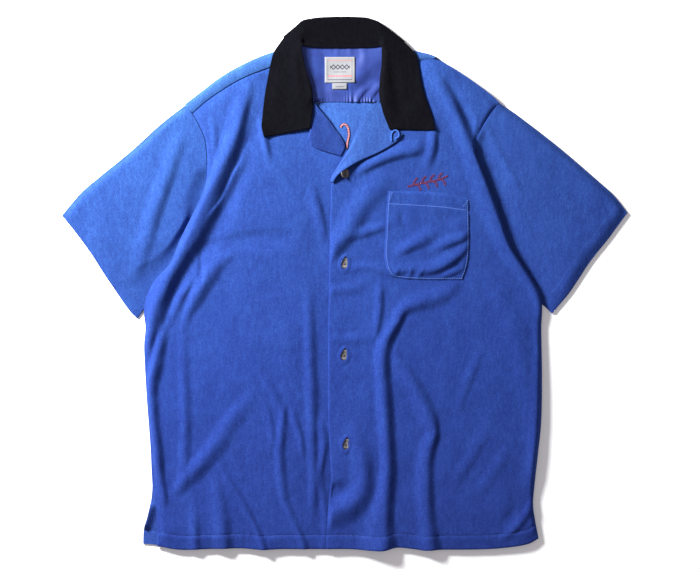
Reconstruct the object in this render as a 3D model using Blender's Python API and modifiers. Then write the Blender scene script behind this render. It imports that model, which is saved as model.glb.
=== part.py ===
"""Short-sleeved bowling shirt, laid flat on its back, buttoned, with its collar open.

Lengths are in millimetres in the tables and become metres when a mesh is made. +X runs towards the
wearer's left sleeve, +Y from the hem to the collar, +Z up from the table. Z = 0 is the table.
Right and left in the names are the wearer's.
"""

import math

import bmesh
import bpy
import numpy as np
from mathutils import Matrix, Vector
from mathutils.bvhtree import BVHTree

# ---------------------------------------------------------------- driving sizes, millimetres

MM = 0.001
CLOTH = 1.4  # wall of the body cloth
LINING = 1.0  # wall of the yoke lining
COLLAR_CLOTH = 1.6  # wall of the collar
LABEL = 0.6  # wall of the woven label
GAP = 0.3  # space between neighbouring pieces
LAY = 0.6  # space under a piece that lies on a folded panel
SEAM_GAP = 1.0  # space at the front yoke seam, where both sides slope

LOWER = 0.0  # underside of the layer on the table
UPPER = CLOTH + GAP  # underside of the layer on that
FRONT = UPPER + CLOTH + GAP  # underside of a front, with a sleeve tucked below it
OVER = FRONT + CLOTH + 0.4  # underside of the left front where it laps over the right one
FRONT_AIR = 4.6  # underside of a front away from its edges
SLEEVE_AIR = 4.0  # underside of a sleeve's upper half away from its edges
OVERLAP = 46.0  # width of the right front under the left one

EDGE_ROLL = 14.0  # how far in an edge's height is felt
EDGE_STRIP = 3.0  # width of the first strip of faces along an edge
TURN_RADIUS = 0.8  # how far a tube's middle stands out at its sides

# Faces along each way of a piece's grid
BACK_COLUMNS = 16
FRONT_COLUMNS = 22
FRONT_ROWS = 27
SLEEVE_ROWS = 10
LAPEL_ROWS = 9
POCKET_STEPS = 9

SHOULDER_ROLL = 1.2  # how far the yoke's turn stands out past the shoulder line
BUTTON_RADIUS = 5.75
BUTTON_THICK = 2.4
BUTTON_EDGE = 0.6  # bevel of a button's rims
BUTTON_TILT = math.radians(14)
LOOP_CORD_RADIUS = 1.2
GATHER_HEIGHT = 0.8
GATHER_REACH = 13.0  # how far a gather runs up from the back yoke seam
GATHER_FREE = 8.0  # width at either end of the seam where the gathers die out
GATHER_WAVES = (6.6, 1.2, 57.0)  # width of a gather, how uneven, and over what length
GATHER_SWELL = 90.0  # length over which the gathers grow and shrink
LINING_COLUMNS = 54
LINING_ROWS = 4
LINING_ROWS_CROWD = 1.25  # above 1, rows crowd towards the gathered seam
LAPEL_SWELL = 2.2  # height of a lapel's swell next to its roll
LAPEL_SWELL_AT = 0.1  # share of its width where the swell is highest
LAPEL_SWELL_REACH = 0.28
LAPEL_ACROSS = (0, 0.035, 0.12, 0.3, 0.5, 0.72, 0.93, 1.0)
LAPEL_SHOULDER = 0.9  # drop from the swell to the roll's turn

# ---------------------------------------------------------------- outline, millimetres

# Seams and edges as (x, y), each in the order of its name: down for sides, left to right for tops.
# Both armholes have their points in the same order, so that the pieces on either side share them.
ARMHOLE_RIGHT = [(-232, 260), (-221, 247), (-211, 229), (-203, 209), (-200, 180), (-201, 147),
                 (-205, 118), (-215, 82), (-230, 42), (-243, 19), (-258, -5), (-278, -24)]
ARMHOLE_LEFT = [(225, 263), (215, 252), (203, 234), (193, 214), (189, 200), (190, 187),
                (195, 160), (207, 124), (222, 87), (239, 50), (258, 12), (279, -24)]
AT_FRONT_SEAM = 1  # index of the front yoke seam on the right armhole
AT_BACK_SEAM = 3  # index of the back yoke seam on both armholes
AT_FOLD = 5  # index below which the front's fold covers the armhole
SHOULDER_LINE = [(-232, 260), (-210, 277), (-181, 299), (-152, 316), (-119, 331), (-87, 341),
                 (-66, 346), (0, 346), (58, 346), (80, 342), (106, 337), (131, 330), (160, 312),
                 (189, 292), (225, 263)]
BACK_YOKE_SEAM = [(-203, 209), (-152, 250), (-36, 264), (42, 264), (138, 253), (193, 214)]

# Edges of the panels as (x, y, underside height).
YOKE_SEAM_RIGHT = [(-221, 247, UPPER), (-195, 269, 2.8), (-152, 296, FRONT), (-108, 314, FRONT),
                   (-66, 327, FRONT)]
FOLD_RIGHT = [(-210, 122, FRONT), (-221, 100, FRONT), (-239, 64, FRONT), (-253, 31, FRONT),
              (-275, 6, FRONT), (-288, -20, FRONT), (-291, -42, FRONT)]
SIDE_RIGHT = [(-287, -63, 3.0), (-291, -88, UPPER), (-291, -117, UPPER), (-287, -168, UPPER),
              (-282, -233, UPPER), (-279, -308, UPPER), (-273, -322, 2.2), (-272, -380, 2.2)]
RIGHT_FRONT_EDGE = [(-66, 327, FRONT), (-60, 308, FRONT), (-54, 288, FRONT), (-48, 269, FRONT),
                    (-43, 256, FRONT), (-28, 238, FRONT), (-16, 220, FRONT), (-6, 207, FRONT),
                    (4, 194, FRONT), (14, 173, FRONT), (18, 154, FRONT), (18, -23, FRONT),
                    (18, -168, FRONT), (18, -383, FRONT)]
HEM_RIGHT = [(-272, -380, 2.2), (-239, -385, 3.0), (-152, -383, 2.6), (-120, -385, 3.2),
             (-65, -384, 3.0), (18, -383, FRONT)]

YOKE_SEAM_LEFT = [(58, 322, FRONT), (80, 322, FRONT), (106, 324, FRONT), (127, 327, 2.4),
                  (145, 321, UPPER), (174, 303, UPPER), (211, 276, UPPER), (225, 263, UPPER)]
FOLD_LEFT = [(191, 187, FRONT), (208, 144, FRONT), (225, 100, FRONT), (240, 57, FRONT),
             (258, 28, FRONT), (277, -1, FRONT), (285, -20, FRONT), (286, -40, FRONT)]
SIDE_LEFT = [(285, -66, 2.6), (286, -132, UPPER), (285, -197, UPPER), (280, -248, UPPER),
             (276, -284, UPPER), (273, -320, 2.2), (276, -339, 2.4), (281, -369, 2.2)]
LEFT_FRONT_EDGE = [(58, 322, FRONT), (57, 298, FRONT), (57, 278, FRONT), (53, 262, FRONT),
                   (37, 246, FRONT), (22, 224, 4.2), (10, 198, OVER), (-2, 179, OVER),
                   (-14, 160, OVER), (-19, 145, OVER), (-20, 122, OVER), (-21, 71, OVER),
                   (-23, -23, OVER), (-24, -168, OVER), (-21, -248, OVER), (-20, -284, OVER),
                   (-24, -330, OVER), (-27, -384, OVER)]
HEM_LEFT = [(-27, -384, OVER), (8, -384, OVER), (48, -386, 3.8), (64, -385, 3.2), (80, -382, 2.4),
            (138, -385, 3.0), (211, -384, 2.8), (261, -378, 2.4), (281, -369, 2.2)]

BACK_SIDE_RIGHT = [(-276, -28), (-285, -63), (-289, -88), (-289, -117), (-285, -168), (-280, -233),
                   (-280, -300), (-286, -335), (-292, -356), (-293, -377)]
BACK_SIDE_LEFT = [(277, -28), (283, -66), (284, -132), (283, -197), (278, -248), (274, -284), (271, -320),
                  (274, -339), (279, -366)]
BACK_HEM = [(-293, -377), (-239, -381), (-120, -382), (8, -382), (138, -383), (211, -381),
            (279, -366)]

SLEEVE_TOP_RIGHT = [(-232, 260), (-268, 232), (-311, 193), (-355, 157), (-384, 132), (-411, 100)]
CUFF_RIGHT = [(-411, 100), (-395, 80), (-369, 45), (-343, 5), (-314, -37), (-301, -50)]
UNDERARM_RIGHT = [(-278, -24), (-290, -36), (-301, -50)]
SLEEVE_TOP_LEFT = [(225, 263), (254, 243), (312, 198), (370, 148), (392, 128), (411, 104)]
CUFF_LEFT = [(411, 104), (385, 69), (356, 32), (327, -11), (301, -43)]
UNDERARM_LEFT = [(279, -24), (291, -33), (301, -43)]

LINING_CORNERS = ((-53, 346), (49, 346), (45, 264.3), (-47, 264.3))
LABEL_CORNERS = ((-29, 330), (15, 330), (15, 292.5), (-29, 292.5))
TAB_CORNERS = ((-18, 291.7), (3, 291.7), (3, 283), (-18, 283))

POCKET_TOP = [(63, 135), (109, 134), (138, 132), (160, 128), (180, 122)]
POCKET_LEFT = [(63, 135), (61, 112), (59, 71), (58, 42), (61, 22)]
POCKET_BOTTOM = [(61, 22), (68, 12), (82, 8), (116, 6), (171, 6)]
POCKET_RIGHT = [(180, 122), (181, 86), (181, 50), (178, 26), (171, 6)]

# Turned-back lapels: the roll, then the other three edges.
LAPEL_ROLL_RIGHT = [(-41, 258), (-26, 240), (-14, 222), (-4, 209), (0, 201), (-6, 189)]
LAPEL_TOP_RIGHT = [(-45, 252), (-41, 258)]
LAPEL_SIDE_RIGHT = [(-45, 252), (-48, 232), (-50, 216), (-50, 203)]
LAPEL_HEM_RIGHT = [(-50, 203), (-46, 199), (-24, 193), (-6, 189)]
LAPEL_ROLL_LEFT = [(50, 266), (34, 250), (19, 227), (8, 200), (-4, 180), (-16, 161), (-21, 149)]
LAPEL_TOP_LEFT = [(50, 266), (52, 247), (58, 231), (65, 220), (75, 217), (85, 217)]
LAPEL_SIDE_LEFT = [(85, 217), (73, 205), (51, 192), (22, 179), (0, 166), (-11, 157), (-17, 147)]
LAPEL_HEM_LEFT = [(-21, 149), (-17, 147)]

# Collar sections along its U, from the right leaf's point over the nape to the left leaf's point:
# inner edge x, y, height, height across the middle, outer edge x, y, height. Heights are of the
# middle of the cloth, at least. From TURN_FIRST to TURN_LAST the fall turns under at the outer edge.
COLLAR_SECTIONS = [
    (-50, 226, 7.5, 7.5, -117, 213, 7.2),
    (-47, 246, 8.0, 8.0, -121, 228, 7.2),
    (-46, 262, 6.0, 8.5, -119, 250, 7.2),
    (-47, 283, 4.2, 8.5, -116, 276, 7.2),
    (-57, 314, 4.2, 9.0, -110, 308, 7.2),
    (-62, 338, 4.2, 9.2, -104, 336, 6.4),
    (-62, 345, 4.2, 9.4, -90, 359, 6.0),
    (-61, 346, 4.2, 9.8, -72, 375, 8.0),
    (-57, 345, 4.2, 9.6, -58, 380, 9.2),
    (-48, 343.5, 4.2, 7.6, -38, 383, 9.2),
    (0, 343, 4.2, 6.8, 0, 383.5, 9.2),
    (40, 343.5, 4.2, 7.6, 32, 383, 9.2),
    (49, 345, 4.2, 9.6, 50, 378, 9.2),
    (53, 346, 4.2, 9.8, 67, 368, 8.0),
    (54, 345, 4.2, 9.4, 87, 350, 6.0),
    (54, 338, 4.2, 9.2, 104, 334, 6.4),
    (54, 320, 4.2, 9.0, 108, 310, 7.2),
    (51, 296, 4.2, 8.5, 110, 294, 7.2),
    (50, 274, 4.2, 8.5, 116, 272, 7.2),
    (55, 249, 7.0, 8.0, 127, 243, 7.2),
    (65, 224, 7.5, 7.5, 131, 223, 7.2),
]
TURN_FIRST = 6
TURN_LAST = 14
COLLAR_STEPS = 2  # rows of faces from one section to the next
COLLAR_CREST = 0.07  # share of a section where the roll is highest
COLLAR_ACROSS = (0.0, COLLAR_CREST, 0.28, 0.52, 0.76, 1.0)
LEAF_END = 8.5  # outer height above which a section is the nape's, with no crest
FALL_ROLL = 1.4  # how far the fall's turn stands out past the outer edge
FALL_UNDER = (0.0, 12.0, 26.0, 36.0)  # how far the back fall reaches in under the nape
FALL_TOP = 384.0  # the turned-under fall stays below this y
FALL_FLOOR = 349.0  # and above this one
FALL_CENTRE = Vector((-4.0, 330.0))  # the back fall turns in towards this point

BUTTONS = ((2, 158), (0, 29), (-1, -104), (2, -233))
LOOP_PATH = [(68, 207), (67.5, 213), (68.5, 219), (73, 223), (78, 220), (78.5, 214), (73.5, 210.5)]

# ---------------------------------------------------------------- folds, millimetres

# Each fold: height, reach on its gentle side, then its path as (x, y) points.
FOLDS_RIGHT = [
    (5.0, 24, [(-144, 286), (-163, 222), (-203, 126), (-230, 70), (-274, 2)]),
    (2.4, 16, [(-145, 209), (-174, 144), (-200, 105)]),
    (4.0, 22, [(-171, 150), (-205, 86), (-243, 20), (-268, -36), (-284, -88)]),
    (4.2, 24, [(-130, -161), (-174, -197), (-203, -230), (-229, -267), (-250, -298)]),
    (2.6, 22, [(-235, -66), (-230, -175), (-232, -270)]),
    (2.4, 18, [(-178, -281), (-152, -313), (-128, -378)]),
    (2.4, 18, [(-186, -268), (-186, -330), (-185, -379)]),
    (3.0, 18, [(-88, -190), (-94, -240), (-94, -313)]),
    (3.4, 22, [(-62, -37), (-59, -124), (-53, -211), (-48, -313)]),
    (2.4, 16, [(-87, -330), (-72, -360), (-62, -382)]),
]
FOLDS_LEFT = [
    (4.2, 24, [(181, 186), (208, 122), (232, 64), (262, 6)]),
    (2.6, 20, [(138, 296), (158, 262), (175, 214)]),
    (2.4, 16, [(46, 182), (78, 188), (112, 203)]),
    (4.6, 20, [(150, -2), (112, -15), (80, -27), (60, -64), (50, -103), (48, -211), (54, -284),
               (44, -335), (40, -358)]),
    (4.4, 20, [(73, -103), (92, -146), (109, -190), (115, -240), (112, -358)]),
    (3.2, 28, [(206, -1), (232, -52), (250, -124), (263, -182), (268, -270)]),
    (2.6, 18, [(268, -317), (254, -340), (237, -360)]),
    (2.0, 18, [(20, -226), (22, -290), (14, -345)]),
]
FOLDS_SLEEVE_RIGHT = [
    (2.2, 20, [(-256, 210), (-284, 115), (-306, 32)]),
    (2.2, 20, [(-226, 180), (-250, 110), (-273, 28)]),
]
FOLDS_SLEEVE_LEFT = [
    (3.4, 20, [(206, 224), (224, 187), (240, 144), (254, 110)]),
    (1.8, 22, [(268, 172), (284, 136), (298, 92)]),
]
SHADE_SIDE = Vector((0.7, -0.7))  # folds fall off more steeply on this side
STEEPER = 0.3
FOLD_RISE = 0.22  # share of a fold's length over which it rises at each end

# ---------------------------------------------------------------- materials

BLUE = (0.035, 0.085, 0.48, 1)
SATIN_BLUE = (0.045, 0.04, 0.42, 1)
BLACK = (0.006, 0.006, 0.010, 1)
SHELL = (0.19, 0.17, 0.15, 1)
WHITE = (0.75, 0.74, 0.72, 1)


def cloth_material(name, colour, roughness):
    """A Principled material of one colour."""
    material = bpy.data.materials.new(name)
    material.use_nodes = True
    shader = material.node_tree.nodes["Principled BSDF"]
    shader.inputs["Base Color"].default_value = colour
    shader.inputs["Roughness"].default_value = roughness
    shader.inputs["Metallic"].default_value = 0.0
    material.diffuse_color = colour
    return material


# ---------------------------------------------------------------- curves and grids


def smooth_path(points, stations):
    """Points at the given shares of the length of a smooth curve through the points."""
    knots = np.array(points, float)
    ends = np.vstack([2 * knots[0] - knots[1], knots, 2 * knots[-1] - knots[-2]])
    share = np.linspace(0, 1, 12, endpoint=False)[:, None]
    runs = []
    for a, b, c, d in zip(ends, ends[1:], ends[2:], ends[3:]):
        runs.append(0.5 * (2 * b + (c - a) * share + (2 * a - 5 * b + 4 * c - d) * share**2
                           + (3 * b - a - 3 * c + d) * share**3))
    line = np.vstack(runs + [knots[-1:]])
    steps = np.linalg.norm(np.diff(line[:, :2], axis=0), axis=1)
    along = np.concatenate([[0], np.cumsum(steps)]) / steps.sum()
    return np.stack([np.interp(stations, along, column) for column in line.T], axis=1)


def at_height(path, height):
    """The path with one underside height for all its points."""
    return np.array([(p[0], p[1], height) for p in path], float)


def spread(path, count, strips=(EDGE_STRIP, EDGE_STRIP)):
    """Points on a smooth path, evenly spaced but for a narrow strip at either end."""
    path = np.array(path, float)
    length = np.linalg.norm(np.diff(path[:, :2], axis=0), axis=1).sum()
    first, last = strips[0] / length, 1 - strips[1] / length
    inner = np.linspace(first, last, count - (first > 0) - (last < 1) + 1)
    stations = np.unique(np.concatenate([[0], inner, [1]]))
    return smooth_path(path, stations)


def with_strip(path, at_end=False):
    """The path's own points, with one more at an edge strip's width from its start or end."""
    path = np.array(path, float)
    a, b = (path[-1], path[-2]) if at_end else (path[0], path[1])
    extra = a + (b - a) * EDGE_STRIP / np.linalg.norm((b - a)[:2])
    place = len(path) - 1 if at_end else 1
    return np.insert(path, place, extra, axis=0)


def shares_of(edge):
    """Share of the edge's length at each of its points."""
    steps = np.linalg.norm(np.diff(edge[:, :2], axis=0), axis=1)
    return np.concatenate([[0], np.cumsum(steps)]) / steps.sum()


def patch(top, bottom, left, right):
    """Grid of points, rows down and columns across, filled between four edges' points."""
    u = ((shares_of(top) + shares_of(bottom)) / 2)[None, :, None]
    v = ((shares_of(left) + shares_of(right)) / 2)[:, None, None]
    sides = (1 - u) * left[:, None] + u * right[:, None]
    ends = (1 - v) * top[None] + v * bottom[None]
    above = (1 - u) * top[0] + u * top[-1]
    below = (1 - u) * bottom[0] + u * bottom[-1]
    return sides + ends - (1 - v) * above - v * below


def seam_inset(grid, distance=GAP / 2):
    """The grid with its rim moved in, so that neighbours at a seam stand apart."""
    out = grid.copy()
    for rim, inner in ((np.s_[0, :], np.s_[1, :]), (np.s_[-1, :], np.s_[-2, :]),
                       (np.s_[:, 0], np.s_[:, 1]), (np.s_[:, -1], np.s_[:, -2])):
        along = np.gradient(grid[rim][:, :2], axis=0)
        across = np.stack([-along[:, 1], along[:, 0]], axis=1)
        across /= np.linalg.norm(across, axis=1, keepdims=True)
        inward = ((grid[inner] - grid[rim])[:, :2] * across).sum(1, keepdims=True)
        out[rim][:, :2] += across * np.sign(inward) * distance
    return out


def rim_feel(grid, holds):
    """Weight and height that each rim gives to each point: 1 at the rim, 0 inside the panel.
    A hold is the width next to the top, bottom, left and right rim that keeps the rim's height."""
    rims = (grid[:1], grid[-1:], grid[:, :1], grid[:, -1:])
    weights, heights = [], []
    for rim, hold in zip(rims, holds):
        reach = np.linalg.norm(grid[..., :2] - rim[..., :2], axis=-1)
        weights.append(np.exp(-(np.maximum(reach - hold, 0) / EDGE_ROLL) ** 2))
        heights.append(np.broadcast_to(rim[..., 2], reach.shape))
    return np.array(weights), np.array(heights)


def fold_height(x, y, folds):
    """Height of the folds at points x, y: soft ridges, steeper on the shaded side."""
    total = np.zeros_like(x)
    for height, reach, path in folds:
        line = smooth_path(path, np.linspace(0, 1, 18))
        best = np.full(x.shape, np.inf)
        lift = np.zeros_like(x)
        for i, (a, b) in enumerate(zip(line, line[1:])):
            run = b - a
            t = np.clip(((x - a[0]) * run[0] + (y - a[1]) * run[1]) / (run @ run), 0, 1)
            dx, dy = x - a[0] - t * run[0], y - a[1] - t * run[1]
            away = np.hypot(dx, dy)
            shade = (dx * SHADE_SIDE.x + dy * SHADE_SIDE.y) / np.maximum(away, 1e-6)
            spread = away / (reach * (1 - STEEPER * shade))
            along = (i + t) / (len(line) - 1)
            rise = np.clip(np.minimum(along, 1 - along) / FOLD_RISE, 0.0, 1.0)
            rise = 0.25 + 0.75 * rise * rise * (3 - 2 * rise)
            bump = rise * (0.5 + 0.5 * np.cos(math.pi * np.minimum(spread, 1)))
            nearer = away < best
            lift = np.where(nearer, bump, lift)
            best = np.where(nearer, away, best)
        total += height * lift
    return total


def panel(top, bottom, left, right, air, folds=(), holds=(0, 0, 0, 0)):
    """A panel's grid: underside heights from its edges, lifted by air inside and by its folds."""
    grid = patch(top, bottom, left, right)
    weights, heights = rim_feel(grid, holds)
    rim = 1 - np.prod(1 - weights, axis=0)
    rim_height = (weights * heights).sum(0) / np.maximum(weights.sum(0), 1e-6)
    lift = fold_height(grid[..., 0], grid[..., 1], folds)
    fold_share = np.prod(1 - weights[[0, 2, 3]], axis=0)
    grid[..., 2] = air * (1 - rim) + rim_height * rim + lift * fold_share
    return seam_inset(grid)


# ---------------------------------------------------------------- objects

shirt = None
surfaces = {}


def grid_mesh(grid, keep=None, closed=False):
    """A bmesh grid moved onto the points, in mm. keep says which faces stay, and closed joins the
    first column to the last."""
    rows, columns = grid.shape[:2]
    bm = bmesh.new()
    bmesh.ops.create_grid(bm, x_segments=columns - 1, y_segments=rows - 1, size=0.5)
    bm.verts.ensure_lookup_table()
    where = {}
    for vert in bm.verts:
        column = round((vert.co.x + 0.5) * (columns - 1))
        row = round((0.5 - vert.co.y) * (rows - 1))
        where[vert] = (row, column)
    if keep is not None:
        lost = []
        for face in bm.faces:
            row = min(where[v][0] for v in face.verts)
            column = min(where[v][1] for v in face.verts)
            if not keep(row, column):
                lost.append(face)
        bmesh.ops.delete(bm, geom=lost, context="FACES")
    for vert in bm.verts:
        row, column = where[vert]
        vert.co = Vector(grid[row, column])
    if closed:
        bmesh.ops.remove_doubles(bm, verts=bm.verts, dist=0.01)
    return bm


def sheet(name, bm, thick, material, lift=0.5):
    """A named sheet of cloth from a mesh in mm: a shell with Solidify. lift is the share of the
    wall to raise it by, 0.5 for a mesh of undersides."""
    bmesh.ops.translate(bm, verts=bm.verts, vec=(0, 0, lift * thick))
    bmesh.ops.recalc_face_normals(bm, faces=bm.faces)
    surfaces[name] = (BVHTree.FromBMesh(bm), thick / 2)
    bmesh.ops.scale(bm, verts=bm.verts, vec=(MM, MM, MM))
    mesh = bpy.data.meshes.new(name)
    bm.to_mesh(mesh)
    bm.free()
    mesh.shade_smooth()
    mesh.materials.append(material)
    made = bpy.data.objects.new(name, mesh)
    shirt.objects.link(made)
    wall = made.modifiers.new("wall", "SOLIDIFY")
    wall.thickness = thick * MM
    wall.offset = 0.0
    wall.use_even_offset = False
    return made


COMPASS = [math.radians(45 * i) for i in range(8)]


def top_at(x, y, names, reach=6.0):
    """Highest top of the named sheets at x, y and round it."""
    best = -math.inf
    around = [(0, 0)] + [(reach * math.cos(a), reach * math.sin(a)) for a in COMPASS]
    for name in names:
        tree, half = surfaces[name]
        for dx, dy in around:
            hit = tree.ray_cast(Vector((x + dx, y + dy, 200)), Vector((0, 0, -1)))[0]
            if hit is not None:
                best = max(best, hit.z + half)
    return best


def laid_on(grid, names, gap=LAY):
    """The grid with its underside on the named sheets, or where it was if that is higher."""
    out = grid.copy()
    for index in np.ndindex(grid.shape[:2]):
        x, y, z = grid[index]
        out[index][2] = max(z, top_at(x, y, names) + gap)
    return out


def flat_grid(corners, columns, rows, height):
    """A grid between four corners: upper left, upper right, lower right, lower left."""
    a, b, c, d = (np.array(p, float) for p in corners)
    u = np.linspace(0, 1, columns + 1)[None, :, None]
    v = np.linspace(0, 1, rows + 1)[:, None, None]
    plan = (1 - v) * ((1 - u) * a + u * b) + v * ((1 - u) * d + u * c)
    return np.concatenate([plan, np.full(plan.shape[:2] + (1,), height)], axis=2)


# ---------------------------------------------------------------- pieces


def make_back(blue):
    top = spread(at_height(BACK_YOKE_SEAM, LOWER), BACK_COLUMNS)
    hem = spread(at_height(BACK_HEM, LOWER), BACK_COLUMNS)
    right, left = (
        np.vstack([with_strip(at_height(armhole[AT_BACK_SEAM:-1], LOWER)),
                   spread(at_height(side, LOWER), 8, (0, EDGE_STRIP))])
        for armhole, side in ((ARMHOLE_RIGHT, BACK_SIDE_RIGHT), (ARMHOLE_LEFT, BACK_SIDE_LEFT)))
    sheet("back", grid_mesh(panel(top, hem, right, left, LOWER)), CLOTH, blue)


def shoulder_strip(shoulders, seam):
    """The yoke's turn over the shoulder: from the layer on the table up and on to the front."""
    across = seam[:, :2] - shoulders
    inward = across / np.linalg.norm(across, axis=1, keepdims=True)
    end = across - inward * SEAM_GAP
    height = seam[:, 2]
    lines = ((shoulders, LOWER * height), (shoulders - inward * SHOULDER_ROLL, height / 2),
             (shoulders + inward * SHOULDER_ROLL, height), (shoulders + end / 2, height),
             (shoulders + end, height))
    return np.array([np.column_stack(line) for line in lines])


def make_yoke(blue):
    """Upper back, with a strip over each shoulder down to the front seam."""
    top = spread(at_height(SHOULDER_LINE, LOWER), BACK_COLUMNS)
    seam = spread(at_height(BACK_YOKE_SEAM, LOWER), BACK_COLUMNS)
    right = at_height(ARMHOLE_RIGHT[:AT_BACK_SEAM + 1], LOWER)
    left = at_height(ARMHOLE_LEFT[:AT_BACK_SEAM + 1], LOWER)
    under = seam_inset(patch(top, seam, right, left))
    bm = grid_mesh(under)
    edge = under[0, :, :2]
    for low, high, line in ((-300, -64, YOKE_SEAM_RIGHT), (56, 135, YOKE_SEAM_LEFT[:4])):
        shoulders = edge[(edge[:, 0] > low) & (edge[:, 0] < high)]
        seam = smooth_path(line, shares_of(shoulders))
        strip = grid_mesh(shoulder_strip(shoulders, seam))
        extra = bpy.data.meshes.new("strip")
        strip.to_mesh(extra)
        strip.free()
        bm.from_mesh(extra)
        bpy.data.meshes.remove(extra)
    bmesh.ops.remove_doubles(bm, verts=bm.verts, dist=0.01)
    sheet("yoke", bm, CLOTH, blue)


def make_lining(satin):
    """Satin inside the neck, with uneven gathers at its lower seam."""
    grid = flat_grid(LINING_CORNERS, LINING_COLUMNS, LINING_ROWS, UPPER)
    low, high = LINING_CORNERS[3][1], LINING_CORNERS[0][1]
    share = (grid[..., 1] - low) / (high - low)
    grid[..., 1] = low + (high - low) * share**LINING_ROWS_CROWD
    x, y = grid[..., 0], grid[..., 1]
    pitch, drift, swing = GATHER_WAVES
    waves = 0.5 + 0.5 * np.cos(x * math.tau / pitch + drift * np.sin(x * math.tau / swing))
    grow = 0.55 + 0.45 * np.sin(x * math.tau / GATHER_SWELL + 0.9)
    fade = np.exp(-((y - low) / GATHER_REACH))
    ends = np.minimum(x - LINING_CORNERS[3][0], LINING_CORNERS[2][0] - x)
    grid[..., 2] += GATHER_HEIGHT * waves * grow * fade * np.clip(ends / GATHER_FREE, 0, 1)
    sheet("yoke_lining", grid_mesh(grid), LINING, satin)


def make_front_right(blue):
    armhole = at_height(ARMHOLE_RIGHT[AT_FRONT_SEAM:AT_FOLD + 1], UPPER)
    armhole[-1, 2] = FRONT
    fold = spread([tuple(armhole[-1])] + FOLD_RIGHT + SIDE_RIGHT, FRONT_ROWS - 4, (0, EDGE_STRIP))
    side = np.vstack([with_strip(armhole), fold[1:]])
    front = smooth_path(RIGHT_FRONT_EDGE, shares_of(side))
    grid = panel(spread(YOKE_SEAM_RIGHT, FRONT_COLUMNS), spread(HEM_RIGHT, FRONT_COLUMNS), side,
                 front, FRONT_AIR, FOLDS_RIGHT, (0, 0, 0, OVERLAP))
    sheet("front_right", grid_mesh(grid), CLOTH, blue)


def make_front_left(blue):
    armhole = at_height(ARMHOLE_LEFT[:AT_FOLD + 1], UPPER)
    armhole[-1, 2] = FRONT
    fold = spread([tuple(armhole[-1])] + FOLD_LEFT + SIDE_LEFT, FRONT_ROWS - 5, (0, EDGE_STRIP))
    side = np.vstack([with_strip(armhole), fold[1:]])
    front = smooth_path(LEFT_FRONT_EDGE, shares_of(side))
    grid = panel(spread(YOKE_SEAM_LEFT, FRONT_COLUMNS), spread(HEM_LEFT, FRONT_COLUMNS), front,
                 side, FRONT_AIR, FOLDS_LEFT, (0, 0, OVERLAP, 0))
    grid = laid_on(grid, ["front_right"], 0.5)
    sheet("front_left", grid_mesh(grid), CLOTH, blue)


def sleeve_grid(armhole, cuff, outer, under, folds):
    """Columns round a flattened tube, rows from the armhole to the cuff."""
    armhole = with_strip(with_strip(at_height(armhole, UPPER)), at_end=True)
    cuff = smooth_path(at_height(cuff, UPPER + 0.4), shares_of(armhole))
    outer = spread(at_height(outer, UPPER), SLEEVE_ROWS)
    under = smooth_path(at_height(under, UPPER), shares_of(outer))
    plan = patch(armhole, cuff, outer, under)
    weights, heights = rim_feel(plan, (46, 0, 0, 0))
    rim = 1 - np.prod(1 - weights, axis=0)
    rim_height = (weights * heights).sum(0) / np.maximum(weights.sum(0), 1e-6)
    upper = seam_inset(plan)
    upper[..., 2] = SLEEVE_AIR * (1 - rim) + rim_height * rim
    fold_share = np.prod(1 - weights[[0, 2, 3]], axis=0)
    upper[..., 2] += fold_height(plan[..., 0], plan[..., 1], folds) * fold_share
    turns = []
    for side, inner in ((-1, -2), (0, 1)):
        out = upper[:, side, :2] - upper[:, inner, :2]
        out = out / np.linalg.norm(out, axis=1, keepdims=True)
        turn = upper[:, side].copy()
        turn[:, :2] -= out * CLOTH / 2
        turn[:, 2] /= 2
        upper[:, side, :2] -= out * (CLOTH / 2 + TURN_RADIUS)
        turns.append(turn[:, None])
    lower = upper[:, ::-1].copy()
    lower[..., 2] = LOWER
    return np.concatenate([upper, turns[0], lower, turns[1], upper[:, :1]], axis=1)


def make_sleeves(blue):
    right = sleeve_grid(ARMHOLE_RIGHT, CUFF_RIGHT, SLEEVE_TOP_RIGHT, UNDERARM_RIGHT,
                        FOLDS_SLEEVE_RIGHT)
    sheet("sleeve_right", grid_mesh(right, closed=True), CLOTH, blue)
    left = sleeve_grid(ARMHOLE_LEFT, CUFF_LEFT, SLEEVE_TOP_LEFT, UNDERARM_LEFT,
                       FOLDS_SLEEVE_LEFT)
    sheet("sleeve_left", grid_mesh(left, closed=True), CLOTH, blue)


def lapel_grid(top, hem, roll, side, roll_first, front):
    """A turned-back lapel: it lies on its front, swells towards the roll and turns down there."""
    across = np.array(LAPEL_ACROSS)
    down = np.linspace(0, 1, LAPEL_ROWS + 1)
    least = FRONT + CLOTH + LAY
    fronts = [name for name in ("front_right", "front_left") if name in surfaces]
    ends = (top, hem) if roll_first else (top[::-1], hem[::-1])
    grid = patch(*(smooth_path(at_height(path, least), across) for path in ends),
                 *(smooth_path(at_height(path, least), down) for path in (roll, side)))
    out = laid_on(grid, [front])
    swell = LAPEL_SWELL * np.exp(-((across - LAPEL_SWELL_AT) / LAPEL_SWELL_REACH) ** 2)
    out[..., 2] += swell[None]
    for row, (x, y, _) in enumerate(grid[:, 0]):
        out[row, 0][2] = top_at(x, y, fronts) + GAP
        out[row, 1][2] = out[row, 2][2] - LAPEL_SHOULDER
    return out


def make_facing_right(blue):
    grid = lapel_grid(LAPEL_TOP_RIGHT, LAPEL_HEM_RIGHT, LAPEL_ROLL_RIGHT, LAPEL_SIDE_RIGHT,
                      False, "front_right")
    sheet("facing_right", grid_mesh(grid), CLOTH, blue)


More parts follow.
